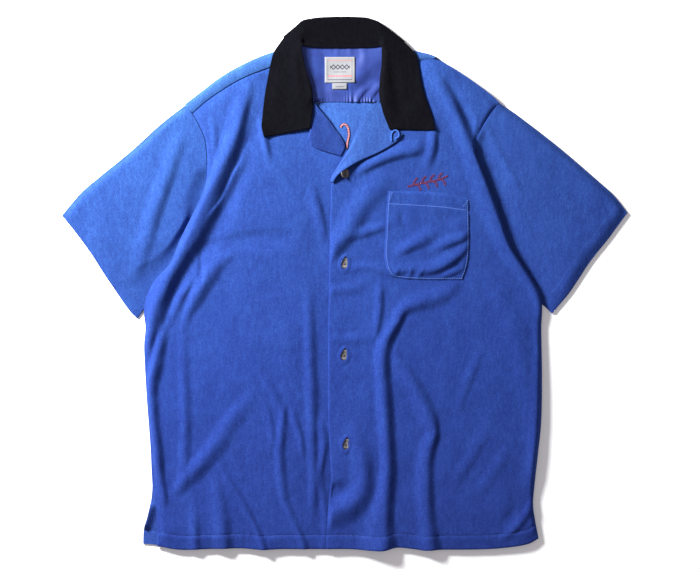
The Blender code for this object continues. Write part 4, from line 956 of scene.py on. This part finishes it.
def make_lining(material_):
    """The lining inside the neck, gathered along its lower seam and rising to the collar's side."""
    grid = flat_grid(LINING_CORNERS, 150, 70, UPPER)
    (side, top), low = LINING_CORNERS[0], LINING_CORNERS[3][1]
    x, y = grid[..., 0], grid[..., 1]
    rise = y - low
    waves = np.cos(x * math.tau / GATHER + 2.6 * np.sin(x * math.tau / GATHER_SWAY)
                   + 0.06 * rise * ripple(x, y, 30, 4))
    grow = np.clip(0.5 + 1.1 * ripple(x, 0 * y, 12, 8) + 0.012 * x, 0.08, 1.25)
    fade = np.exp(-(np.maximum(rise, 0) / (4 + 6 * np.clip(ripple(x, 0 * y, 9, 12) + 0.3, 0, 1))) ** 1.3)
    ends = np.clip(np.minimum(x + GATHERED, GATHERED - x) / 8, 0, 1)
    z = (0.5 + 0.5 * waves) * grow * fade * GATHER_HEIGHT * ends
    z += fold_height(x, y, FOLDS_LINING)
    z += 0.5 * np.clip(1 + ripple(x, y, 16, 20), 0, 2) * np.clip(rise / 14, 0, 1)
    from_side = x - side - SIDE_SLANT * (top - y)
    z += LINING_RISE * (1 - np.clip(from_side / RISE_REACH, 0, 1)) ** 2 * soft(rise / 6)
    grid[..., 2] += z
    sheet("yoke_lining_satin", grid_bmesh(grid), LINING, material_,
          node="yoke_lining")


def make_front_right(blue):
    """The front that laps under, with its fold over the sleeve and the side."""
    arm = arm_heights(arm_part(ARM_RIGHT, AT_FRONT_SEAM, AT_FOLD), 6.4, 7.2)
    fold = trace([tuple(arm[-1])] + FOLD_RIGHT + SIDE_RIGHT)
    side, front = edges(np.vstack([arm, fold[1:]]), trace(RIGHT_FRONT_EDGE), STEP, last=HEM_EDGE)
    top, hem = edges(trace(YOKE_SEAM_RIGHT), trace(HEM_RIGHT), STEP)
    grid = patch(top, hem, side, front)
    reach = panel_heights(grid, FRONT_AIR, (9, 14, SIDE_ROLL, 30), (0, 0, 0, OVERLAP), FOLDS_RIGHT,
                          (12, 0, 5, 60), 31, 1.1)
    x, y = grid[..., 0], grid[..., 1]
    grid[..., 2] -= 1.8 * soft((x + 10) / 26) * np.clip((165 - y) / 20, 0, 1)
    grid[..., 2] += bulge(x, y, *LOW_HOLLOW)
    grid[..., 2] += hemmed(reach[1], 0.35, 0.3, 33, x, y)
    grid[..., 2] -= rounded(reach[1]) + seam_dip(reach[0], 0.5)
    floor = np.where(y > 140, grid[..., 2], np.interp(y, (-64, -40), (UPPER, FRONT)))
    grid[..., 2] -= turned(reach[2], grid[..., 2], floor) + seam_dip(reach[2], 0.5) * (y > 140)
    sheet("front_right_cloth", grid_bmesh(seam_inset(grid)), CLOTH, blue)


def make_front_left(blue):
    """The front that laps over, laid on the other, with its facing's edge and its buttons' swells."""
    arm = arm_heights(arm_part(ARM_LEFT, 0, AT_FOLD), 5.2, 6.8)
    fold = trace([tuple(arm[-1])] + FOLD_LEFT + SIDE_LEFT)
    side, front = edges(np.vstack([arm, fold[1:]]), trace(LEFT_FRONT_EDGE), STEP, last=HEM_EDGE)
    top, hem = edges(trace(YOKE_SEAM_LEFT), trace(HEM_LEFT), STEP, first=FACING_EDGE)
    grid = patch(top, hem, front, side)
    reach = panel_heights(grid, FRONT_AIR, (9, 14, 14, 3.5), (0, 0, OVERLAP - 6, 0), FOLDS_LEFT,
                          (12, 0, 6, 3), 51, 1.1)
    x, y = grid[..., 0], grid[..., 1]
    grid = laid_on(grid, ["front_right_cloth"], 0.5, 0.0, 1)
    below = np.clip((150 - y) / 20, 0, 1)
    grid[..., 2] += 0.12 * soft((FACING - reach[2]) / 2.4 + 0.5) * below
    grid[..., 2] += hemmed(reach[1], 0.35, 0.3, 53, x, y)
    grid[..., 2] -= rounded(reach[1]) + rounded(reach[2], 2.2, 0.9)
    floor = np.where(y > 180, grid[..., 2], np.interp(y, (-64, -40), (UPPER, FRONT)))
    grid[..., 2] -= turned(reach[3], grid[..., 2], floor, 1.2) + seam_dip(reach[3], 0.4) * (y > 180)
    for number, (across, up) in enumerate(BUTTONS, 1):
        grid[..., 2] += bulge(x, y, (across, up), *BUTTON_SWELL)
        if number > 1:
            grid[..., 2] += bulge(x, y, (across, up + DIP_SHIFT), *BUTTON_DIP)
    sheet("front_left_cloth", grid_bmesh(seam_inset(grid)), CLOTH, blue)


def clear_of(x, y, path, side):
    """Distance from a line to points on one side of it (1 left of its direction), or 0 on the other."""
    line = resample(trace(path), np.linspace(0, 1, 40))[:, :2]
    best, sign = np.full(x.shape, np.inf), np.zeros_like(x)
    for a, b in zip(line, line[1:]):
        run = b - a
        _, dx, dy = from_stretch(x, y, a, b)
        away = np.hypot(dx, dy)
        sign = np.where(away < best, np.sign(run[0] * dy - run[1] * dx), sign)
        best = np.minimum(best, away)
    return np.where(sign * side > 0, best, 0)


def sleeve_grid(arm, cuff, outer, under, folds, seam_height, front_fold, side, air, tuck, seed):
    """Columns round a flattened tube, rows from the armhole to the cuff."""
    top, low = edges(at_height(arm, UPPER), trace(at_height(cuff, UPPER + 2.2)), 3.2)
    over, below = edges(trace(at_height(outer, UPPER)), trace(at_height(under, UPPER)), 2.8,
                        last=HEM_EDGE)
    plan = patch(top, low, over, below)
    reach, heights = rim_reach(plan)
    upper = seam_inset(plan)
    x, y = plan[..., 0], plan[..., 1]
    clear = clear_of(x, y, front_fold, side)
    heights[0] = UPPER + (seam_height - UPPER) * soft(clear / 30)
    rolls = np.array([7, 9, 6, 6], float)[:, None, None]
    weights = np.exp(-((reach / rolls) ** 2))
    rim, rim_height = rim_blend(weights, heights)
    lift = fold_height(x, y, folds) + wear(x, y, 0.9, seed)
    inner = np.prod(1 - weights[[0, 2, 3]], axis=0)
    free = soft(clear / np.interp(y, *zip(*tuck)))
    air = np.interp(y, *zip(*air))
    upper[..., 2] = ((UPPER + (air + lift * inner - UPPER) * free) * (1 - rim)
                     + (rim_height + lift * inner * free) * rim)
    fade = np.prod(1 - np.exp(-((reach[[2, 3]] / 5) ** 2)), axis=0) * soft(clear / 12)
    upper[..., 2] += (hemmed(reach[1], 0.5, 0.5, seed + 5, x, y) - rounded(reach[1])) * fade
    upper[..., 2] = np.maximum(upper[..., 2], UPPER)
    turns = []
    for edge, inside, side_reach in ((-1, -2, reach[3]), (0, 1, reach[2])):
        out = upper[:, edge, :2] - upper[:, inside, :2]
        out = out / np.linalg.norm(out, axis=1, keepdims=True)
        turn = upper[:, edge].copy()
        turn[:, :2] -= out * CLOTH / 2
        turn[:, 2] /= 2
        share = np.clip(1 - side_reach / EDGE[-1], 0, 1)[..., None]
        upper[..., :2] -= out[:, None] * share * SIDE_TURN
        turns.append(turn[:, None])
    lower = upper[:, ::-1].copy()
    lower[..., 2] = LOWER
    return np.concatenate([upper, turns[0], lower, turns[1], upper[:, :1]], axis=1)


def make_sleeves(right_blue, left_blue):
    """Both sleeves, each dipping beside its front's fold."""
    grid = sleeve_grid(ARM_RIGHT, CUFF_RIGHT, SLEEVE_TOP_RIGHT, UNDERARM_RIGHT, FOLDS_SLEEVE_RIGHT,
                       7.2, [ARMHOLE_RIGHT[AT_FOLD]] + [p[:2] for p in FOLD_RIGHT], -1,
                       SLEEVE_AIR_RIGHT, TUCK_RIGHT, 71)
    sheet("sleeve_right_cloth", grid_bmesh(grid, closed=True), CLOTH, right_blue)
    grid = sleeve_grid(ARM_LEFT, CUFF_LEFT, SLEEVE_TOP_LEFT, UNDERARM_LEFT, FOLDS_SLEEVE_LEFT,
                       6.8, [ARMHOLE_LEFT[AT_FOLD]] + [p[:2] for p in FOLD_LEFT], 1,
                       SLEEVE_AIR_LEFT, TUCK_LEFT, 81)
    sheet("sleeve_left_cloth", grid_bmesh(grid, closed=True), CLOTH, left_blue)


LAPEL_ACROSS = np.array([0, 0.012, 0.03, 0.055, 0.09, 0.14, 0.2, 0.27, 0.35, 0.43, 0.51, 0.59, 0.67,
                         0.75, 0.82, 0.88, 0.93, 0.965, 0.985, 1.0])


def lapel(name, roll, side, ends, on, swell, lift, node, blue):
    """A turned-back lapel: it turns down at the roll, swells past it, and stands off its front by
    the lift at each share of its outer edge's length."""
    down = np.linspace(0, 1, 46)
    least = FRONT + CLOTH + GAP
    grid = patch(*(resample(trace(at_height(path, least)), LAPEL_ACROSS) for path in ends),
                 *(resample(trace(at_height(path, least)), down) for path in (roll, side)))
    out = laid_on(grid, on, GAP, 2.5, 6)
    u, v = LAPEL_ACROSS[None, :], down[:, None]
    puff = swell * np.sin(math.pi * np.clip(u / 1.25, 0, 1)) * np.sin(math.pi * np.clip(v, 0.04, 0.96)) ** 0.5
    stand = np.interp(down, *zip(*lift))[:, None] * soft((u - 0.25) / 0.75)
    x, y = out[..., 0], out[..., 1]
    out[..., 2] += puff + stand + wear(x, y, 0.5, 91) * (u > 0.1)
    out[..., 2] -= 0.8 * (1 - np.clip((1 - u) / 0.04, 0, 1)) ** 2
    turn = np.clip(1 - u / 0.12, 0, 1) ** 2
    floor = np.array([top_at(px, py, on) or least for px, py in out[:, 0, :2]])[:, None] + GAP
    out[..., 2] = out[..., 2] * (1 - turn) + floor * turn
    sheet(name, grid_bmesh(out), CLOTH, blue, node=node)


def collar_rows():
    """Points of each collar section: across the top, then round and in under the nape."""
    count = (len(COLLAR_SECTIONS) - 1) * COLLAR_STEPS + 1
    where, keys = np.linspace(0, 1, count), np.linspace(0, 1, len(COLLAR_SECTIONS))
    table = np.array(COLLAR_SECTIONS, float)
    rows = np.stack([np.interp(where, keys, column) for column in table.T], axis=1)
    for _ in range(5):
        rows[1:-1] = (rows[:-2] + 2 * rows[1:-1] + rows[2:]) / 4
    sections = []
    for ix, iy, iz, mid, ox, oy, oz in rows:
        inner, outer = Vector((ix, iy)), Vector((ox, oy))
        leaf = np.interp(COLLAR_ACROSS, (0, CREST, 0.5, 1), (iz, mid + 2.0, mid, oz))
        nape = np.interp(COLLAR_ACROSS, (0, 0.5, 1), (iz, mid, oz + 2.5))
        share = float(soft((oz - 7.4) / (9.2 - 7.4)))
        heights = leaf * (1 - share) + nape * share
        points = [(*inner.lerp(outer, s), z) for s, z in zip(COLLAR_ACROSS, heights)]
        inward = (FALL_CENTRE - outer).normalized()
        for share in (0.25, 0.5, 0.75):
            edge = outer - inward * FALL_ROLL * math.sin(math.pi * share)
            points.append((edge.x, edge.y, heights[-1] * (1 - share)))
        for reach in FALL_UNDER:
            spot = outer + inward * reach
            points.append((spot.x, np.clip(spot.y, FALL_FLOOR, FALL_TOP), FELT / 2))
        sections.append(points)
    return np.array(sections)


def make_collar(black):
    """Stand and fall: a leaf on each front, the stand at the nape and the fall turned under it."""
    grid = collar_rows()
    top = len(COLLAR_ACROSS)
    leaf = grid[:, :top].copy()
    below = ["front_right_cloth", "front_left_cloth", "yoke_cloth", "yoke_lining_satin",
             "facing_right_cloth", "facing_left_cloth"]
    leaf = laid_on(leaf, below, FELT / 2 + 0.4, 2.5, 3)
    x, y = leaf[..., 0], leaf[..., 1]
    leaf[..., 2] += wear(x, y, 0.5, 101)
    leaf[..., 2] += fold_height(x, y, FOLDS_COLLAR)
    grid[:, :top] = leaf
    first, last = TURN_FIRST * COLLAR_STEPS, TURN_LAST * COLLAR_STEPS

    def stays(row, column):
        return column < top - 1 or first <= row < last

    sheet("collar_felt", grid_bmesh(grid, keep=stays), FELT, black,
          lift=0.0, node="collar")


POCKET_HEM, POCKET_SEWING = 18.3, 2.6  # distance of the pocket's rows of sewing from its edges


def make_pocket(blue):
    """A patch pocket on the left front, with a hem along its top."""
    top, low = edges(trace(at_height(POCKET_TOP, 0)), trace(at_height(POCKET_BOTTOM, 0)), 2.2)
    left, right = edges(trace(at_height(POCKET_LEFT, 0)), trace(at_height(POCKET_RIGHT, 0)), 2.2,
                        first=EDGE + (8.0, 11.0, 14.0, 17.5, POCKET_HEM, 19.1))
    grid = laid_on(patch(top, low, left, right), ["front_left_cloth"], 0.3, 1.5, 4)
    reach, _ = rim_reach(grid)
    x, y = grid[..., 0], grid[..., 1]
    near = reach[1:].min(0)
    inner = soft(near / 16) * soft(reach[0] / 8 + 0.4)
    grid[..., 2] += (0.7 + wear(x, y, 1.4, 111)) * inner + fold_height(x, y, FOLDS_POCKET) * soft(near / 9)
    grid[..., 2] += sewn(reach[0], POCKET_HEM, 0.5, 115, x, y) + sewn(near, POCKET_SEWING, 0.35, 117, x, y)
    grid[..., 2] -= rounded(reach.min(0), 3.4, 1.7)
    sheet("pocket_cloth", grid_bmesh(grid), CLOTH, blue)


def make_labels(white):
    """The neck label and the size tab below it, lying on the lining."""
    for name, node, corners, size in (("label_tape", "label", LABEL_CORNERS, (0.044, 0.038)),
                                      ("size_tab_tape", "size_tab", TAB_CORNERS, (0.021, 0.012))):
        grid = laid_on(flat_grid(corners, 26, 22 if node == "label" else 6, 0), ["yoke_lining_satin"],
                       GAP, 1.2, 8)
        sheet(name, grid_bmesh(grid), TAPE, white,
              node=node)


# ---------------------------------------------------------------- buttons, loop and thread

# Opening round a button, from the button's middle
SLIT = [(1.8, 11.8), (3.5, 10.0), (4.2, 6.2), (4.3, 2.5), (4.0, -1.0), (3.0, -4.4), (1.2, -6.6),
        (-0.8, -7.2), (-3.0, -6.0), (-4.6, -3.2), (-4.9, 0.2), (-3.9, 3.4), (-2.2, 6.6), (-0.5, 9.8)]
LIP_SHARES = (0.0, 0.08, 0.2, 0.4, 0.65, 1.0)  # from the opening out to where the lips lie flat
LIP_HEIGHTS = (1.8, 2.1, 1.9, 1.3, 0.6, -0.7)
LIP_REACH = (14.0, 19)  # half the width and length of the cloth's swell
LIP_WALL = 0.5
BUTTON_PROFILE = [(0.0, 0.55), (3.4, 0.5), (4.6, 0.75), (5.6, 1.25), (6.6, 1.3), (7.2, 1.0), (7.4, 0.4),
                  (7.1, -0.4), (6.0, -0.9), (0.0, -1.0)]
FIRST_LEAN, FIRST_SHIFT = math.radians(38), (-1.6, 2.8, 3.0)  # the top button leans under the lapel
BUTTON_SHIFT = (0.5, 1.6, -0.2)
SEWING_BARS = ((-0.9, -0.2, 40), (0.7, 0.2, 40), (0.0, 0.9, -50))  # x, y, degrees


def button_bed(spot):
    """Height of the left front's top at a button."""
    return top_at(*spot, ["front_left_cloth"], 2.0)


def make_button(number, spot, shell):
    """A shell-look button with a raised rim."""
    name = "button_%d" % number
    bm = bmesh.new()
    line = [bm.verts.new((r, 0, z)) for r, z in BUTTON_PROFILE]
    cut = [bm.edges.new(pair) for pair in zip(line, line[1:])]
    bmesh.ops.spin(bm, geom=line + cut, cent=(0, 0, 0), axis=(0, 0, 1), angle=math.tau, steps=40,
                   use_merge=True)
    bmesh.ops.remove_doubles(bm, verts=bm.verts, dist=JOIN)
    bmesh.ops.recalc_face_normals(bm, faces=bm.faces)
    lean, shift = (FIRST_LEAN, FIRST_SHIFT) if number == 1 else (0.0, BUTTON_SHIFT)
    bmesh.ops.rotate(bm, verts=bm.verts, matrix=Matrix.Rotation(lean, 3, "Y"))
    bmesh.ops.translate(bm, verts=bm.verts,
                        vec=(spot[0] + shift[0], spot[1] + shift[1], button_bed(spot) + shift[2]))
    add_piece(name + "_shell", mesh_of(name, bm), shell, [name])


def add_bar(bm, place, heading, size):
    """A rounded bar of thread. size is half its length, width and height."""
    matrix = Matrix.Translation(place) @ Matrix.Rotation(heading, 4, "Z") @ Matrix.Diagonal((*size, 1))
    bmesh.ops.create_icosphere(bm, subdivisions=1, radius=1, matrix=matrix)


def make_buttonhole(number, spot, blue, threads):
    """The cloth's swell over a button, open in the middle, with sewn lips round the opening."""
    lips = resample(trace(SLIT + SLIT[:1]), np.linspace(0, 1, 41))[:-1]
    bed = button_bed(spot)
    from_middle = np.linalg.norm(lips, axis=1, keepdims=True)
    rings = []
    for share, height in zip(LIP_SHARES, LIP_HEIGHTS):
        ring = lips * (1 - share) + share * lips / from_middle * LIP_REACH
        rings.append(np.column_stack([ring + spot, np.full(len(ring), bed + height - 0.5)]))
    tops = [[top_at(x, y, ["front_left_cloth"]) or bed for x, y, _ in ring] for ring in rings]
    grid = np.array(rings)
    grid[..., 2] += (np.array(tops) - bed) * np.array(LIP_SHARES)[:, None]
    grid = np.concatenate([grid, grid[:, :1]], axis=1)
    bm = grid_bmesh(grid, closed=True)
    bmesh.ops.recalc_face_normals(bm, faces=bm.faces)
    name = "buttonhole_%d" % number
    add_wall(add_piece(name + "_cloth", mesh_of(name + "_cloth", bm), blue), LIP_WALL)
    # Painted shade: the lips' edge is a cord of very dark thread, for the buttonhole's stitching and for the
    # shadow in the gap round the button.
    rim = np.column_stack([lips * 0.97 + spot, grid[0, :-1, 2] - 0.1])
    tube(name + "_edge", np.vstack([rim, rim[:1]]), 0.5, threads)
    bm = bmesh.new()
    for x, y, angle in SEWING_BARS:
        add_bar(bm, (spot[0] + x, spot[1] + y, bed + 0.45), math.radians(angle), (1.5, 0.55, 0.4))
    sewing = "button_%d_sewing" % number
    add_piece(sewing, mesh_of(sewing, bm), threads)


def tube(name, path, radius, material_, nodes=()):
    """A round cord along a path of points in mm, as a mesh."""
    curve = bpy.data.curves.new(name, "CURVE")
    curve.dimensions = "3D"
    curve.bevel_depth = radius * MM
    curve.bevel_resolution = 3
    curve.use_fill_caps = True
    spline = curve.splines.new("POLY")
    spline.points.add(len(path) - 1)
    for point, (x, y, z) in zip(spline.points, path):
        point.co = (x * MM, y * MM, z * MM, 1)
    maker = bpy.data.objects.new(name + "_curve", curve)
    bpy.context.scene.collection.objects.link(maker)
    mesh = bpy.data.meshes.new_from_object(maker)
    bpy.data.objects.remove(maker)
    mesh.shade_smooth()
    return add_piece(name, mesh, material_, nodes)


def make_loop(blue):
    """A corded button loop at the left lapel's corner."""
    line = resample(trace(LOOP_PATH), np.linspace(0, 1, 40))
    below = ["collar_felt", "facing_left_cloth", "front_left_cloth"]
    tops = np.array([top_at(x, y, below, 0.6) for x, y in line]) + 0.9
    for _ in range(6):
        tops[1:-1] = (tops[:-2] + tops[2:] + 2 * tops[1:-1]) / 4
    tube("loop_cord", np.column_stack([line, tops]), 1.2, blue, ["loop"])


def spots_along(path, spacing, names):
    """Evenly spaced x, y, top and heading along a path that lies on the named sheets."""
    line = trace(path)
    count = max(2, int(along(line)[-1] / spacing))
    spots = resample(line, (np.arange(count) + 0.5) / count)
    ahead = resample(line, (np.arange(count) + 0.9) / count) - spots
    for (x, y), (dx, dy) in zip(spots[:, :2], ahead[:, :2]):
        top = top_at(x, y, names)
        if top is not None:
            yield x, y, top, math.atan2(dy, dx)


def stitches(name, runs, names, thread_, length=2.3, space=0.9, width=0.5, sink=0.1):
    """Rows of single stitches along paths, each a small rounded bar lying on the named sheets."""
    bm = bmesh.new()
    for path in runs:
        for x, y, top, heading in spots_along(path, length + space, names):
            add_bar(bm, (x, y, top - sink), heading, (length / 2, width / 2, width / 2))
    add_piece(name, mesh_of(name, bm), thread_)


def chain_stitch(name, runs, names, thread_, length=3.2, width=0.75, spread=0.42, rise=0.15):
    """Chain stitch along paths: two slanting bars for each link, closing on the next."""
    bm = bmesh.new()
    for path in runs:
        for x, y, top, heading in spots_along(path, length * 0.72, names):
            for side in (-1, 1):
                place = (x - math.sin(heading) * spread * side, y + math.cos(heading) * spread * side,
                         top + rise)
                add_bar(bm, place, heading + side * 0.3, (length / 2, width / 2, width / 2))
    add_piece(name, mesh_of(name, bm), thread_)


def inside(path, distance):
    """A line at a distance to the right of the path's direction."""
    line = resample(trace(path), np.linspace(0, 1, 24))[:, :2]
    run = np.gradient(line, axis=0)
    normal = np.stack([run[:, 1], -run[:, 0]], axis=1)
    return line + normal / np.linalg.norm(normal, axis=1, keepdims=True) * distance


# ---------------------------------------------------------------- stage


FLOOR_SIZE, FLOOR_DROP, FLOOR_GLOW = 6.0, 0.0003, 0.145
KEY_PLACE, KEY_SIZE, KEY_POWER, KEY_COLOUR = (-1.08, 0.84, 0.73), 0.4, 88, (0.97, 1.0, 1.0)
SKY_COLOUR, SKY_POWER = (1.0, 0.93, 1.0, 1), 0.3
VIEW_FROM = (0.0076, -0.0004, 3.2)
VIEW_WIDTH = 1015 * MM  # what the view spans at the shirt's middle height
VIEW_HEIGHT = 0.008  # that height
SENSOR = 36


def stage():
    """A pale floor, a soft key light from the upper left and an even sky."""
    bm = bmesh.new()
    bmesh.ops.create_grid(bm, x_segments=1, y_segments=1, size=FLOOR_SIZE / 2)
    bmesh.ops.translate(bm, verts=bm.verts, vec=(0, 0, -FLOOR_DROP))
    mesh = bpy.data.meshes.new("floor")
    bm.to_mesh(mesh)
    bm.free()
    floor = bpy.data.objects.new("floor", mesh)
    bpy.context.scene.collection.objects.link(floor)
    made, _, _, shader = material("pale_floor", (0.97, 0.97, 0.97, 1), 1.0, 0.0)
    shader.inputs["Emission Color"].default_value = (1, 1, 1, 1)
    shader.inputs["Emission Strength"].default_value = FLOOR_GLOW
    mesh.materials.append(made)

    world = bpy.data.worlds.new("studio")
    bpy.context.scene.world = world
    world.use_nodes = True
    sky = world.node_tree.nodes["Background"]
    sky.inputs["Color"].default_value = SKY_COLOUR
    sky.inputs["Strength"].default_value = SKY_POWER

    data = bpy.data.lights.new("key", "AREA")
    data.shape = "DISK"
    data.size = KEY_SIZE
    data.energy = KEY_POWER
    data.color = KEY_COLOUR
    key = bpy.data.objects.new("key", data)
    key.location = KEY_PLACE
    key.rotation_euler = (-Vector(KEY_PLACE)).to_track_quat("-Z", "Y").to_euler()
    bpy.context.scene.collection.objects.link(key)


def camera():
    """Straight down, with the middle of the view a little to the right of the shirt's."""
    data = bpy.data.cameras.new("camera")
    data.sensor_width = SENSOR
    data.lens = SENSOR * (VIEW_FROM[2] - VIEW_HEIGHT) / VIEW_WIDTH
    made = bpy.data.objects.new("camera", data)
    made.location = VIEW_FROM
    bpy.context.scene.collection.objects.link(made)
    bpy.context.scene.camera = made


# ---------------------------------------------------------------- the shirt

bpy.context.scene.view_settings.view_transform = "Standard"

body_blue = napped_cloth("napped_cloth", 0.0)
back_blue = napped_cloth("napped_cloth_back", 0.0, (1.55, 1.55, 1.28))
# Painted light: the yoke's copy of the cloth is painted lighter, for its strips over the shoulders that face
# the light.
lit_yoke_blue = napped_cloth("napped_cloth_yoke", math.radians(90), (1.48, 1.5, 1.12))
# Painted light: the left facing's copy of the cloth is painted lighter, standing in for the brighter light on
# the left lapel.
lit_facing_blue = napped_cloth("napped_cloth_turned", math.radians(30), (1.27, 1.22, 1.03))
sleeve_right_blue = napped_cloth("napped_cloth_sleeve_right", math.radians(40), (1.13, 1.19, 1.04))
sleeve_left_blue = napped_cloth("napped_cloth_sleeve_left", math.radians(-40), (1.14, 1.14, 1.08))
# Painted shade: the right facing's copy of the cloth is painted darker, for the lapel that slopes away from
# the light.
shaded_facing_blue = napped_cloth("napped_cloth_painted_shade", math.radians(-30), (0.84, 0.75, 0.8))
cord_blue = napped_cloth("cord_cloth", 0.0, (1.9, 1.9, 1.6))
lip_blue = napped_cloth("buttonhole_cloth", 0.0, (1.0, 1.0, 1.0))
collar_black = felt("brushed_felt")
lining_satin = satin("lining_satin_weave")
button_shell = shell_look("shell_look_button")
label_white = woven_label("woven_tape")
blue_thread = thread("blue_thread", (0.045, 0.1, 0.36), (0.07, 0.14, 0.45))
pale_thread = thread("pale_blue_thread", (0.075, 0.16, 0.5), (0.11, 0.22, 0.6))
# Very dark thread: for the buttons' sewing, and at the buttonholes' edges also painted shade for the gap
# round each button.
thread_and_gap_shade = thread("deep_blue_thread", (0.010, 0.012, 0.06), (0.016, 0.02, 0.09))
navy_thread = thread("navy_thread", (0.002, 0.003, 0.012), (0.004, 0.007, 0.03))
red_thread = thread("dark_red_thread", (0.1, 0.005, 0.02), (0.17, 0.012, 0.04))
pink_thread = thread("pink_thread", (0.5, 0.15, 0.17), (0.62, 0.3, 0.32))

make_back(back_blue)
make_yoke(lit_yoke_blue)
make_lining(lining_satin)
make_sleeves(sleeve_right_blue, sleeve_left_blue)
make_front_right(body_blue)
lapel("facing_right_cloth", LAPEL_ROLL_RIGHT, LAPEL_SIDE_RIGHT,
      (LAPEL_TOP_RIGHT[::-1], LAPEL_HEM_RIGHT[::-1]), ["front_right_cloth"], 0.3,
      ((0, 2.0), (0.5, 2.6), (0.8, 2.4), (1, 1.2)), "facing_right", shaded_facing_blue)
make_front_left(body_blue)
lapel("facing_left_cloth", LAPEL_ROLL_LEFT, LAPEL_SIDE_LEFT, (LAPEL_TOP_LEFT, LAPEL_HEM_LEFT),
      ["front_left_cloth"], 1.6,
      ((0, 0.2), (0.3, 0.8), (0.55, 1.6), (0.7, 3.6), (0.82, 6.4), (0.92, 4.2), (1, 0.6)),
      "facing_left", lit_facing_blue)
make_collar(collar_black)
make_pocket(body_blue)
make_labels(label_white)
for number, spot in enumerate(BUTTONS, 1):
    make_button(number, spot, button_shell)
    if number > 1:
        make_buttonhole(number, spot, lip_blue, thread_and_gap_shade)
make_loop(cord_blue)

FRONTS = ["front_left_cloth", "front_right_cloth"]
stitches("hem_stitching", [inside([p[:2] for p in hem], -HEM) for hem in (HEM_RIGHT, HEM_LEFT)],
         FRONTS, blue_thread)
stitches("cuff_stitching", [inside(CUFF_RIGHT, -HEM), inside(CUFF_LEFT, HEM)],
         ["sleeve_right_cloth", "sleeve_left_cloth"], blue_thread)
stitches("pocket_stitching",
         [inside(POCKET_LEFT, -POCKET_SEWING), inside(POCKET_BOTTOM, -POCKET_SEWING),
          inside(POCKET_RIGHT, POCKET_SEWING),
          [(64, 116.6), (94, 115), (138, 112), (160, 109.5), (177, 107)],
          [(63.5, 120), (67, 127), (69, 134)], [(172, 112), (176, 118), (179, 122)]],
         ["pocket_cloth"], pale_thread, space=0.3, width=1.2)

STEM = [(91, 141), (105, 145), (120, 148), (135, 151), (150, 157)]
UPPER_LEAVES = [[(x, y), (x + 1, y + 5), (x + 6, y + 10)]
                for x, y in ((100, 144), (112, 146.5), (124, 149), (136, 151.5))]
LOWER_LEAVES = [[(x, y), (x + 5, y - 3), (x + 7, y - 9)]
                for x, y in ((103, 144.5), (115, 147), (127, 149.5), (139, 152))]
chain_stitch("chest_sprig", [STEM] + UPPER_LEAVES + LOWER_LEAVES, ["front_left_cloth"], red_thread,
             width=1.15, spread=0.85)
NECK_HOOK = [(3, 196), (4, 206), (6, 216), (5, 226), (1, 232), (-4, 231), (-6, 227)]
chain_stitch("back_sprig_outline", [NECK_HOOK], ["back_cloth"], navy_thread, width=1.0, spread=1.7)
chain_stitch("back_sprig", [NECK_HOOK], ["back_cloth"], pink_thread, width=1.3, spread=0.6, rise=0.5)

camera()
stage()
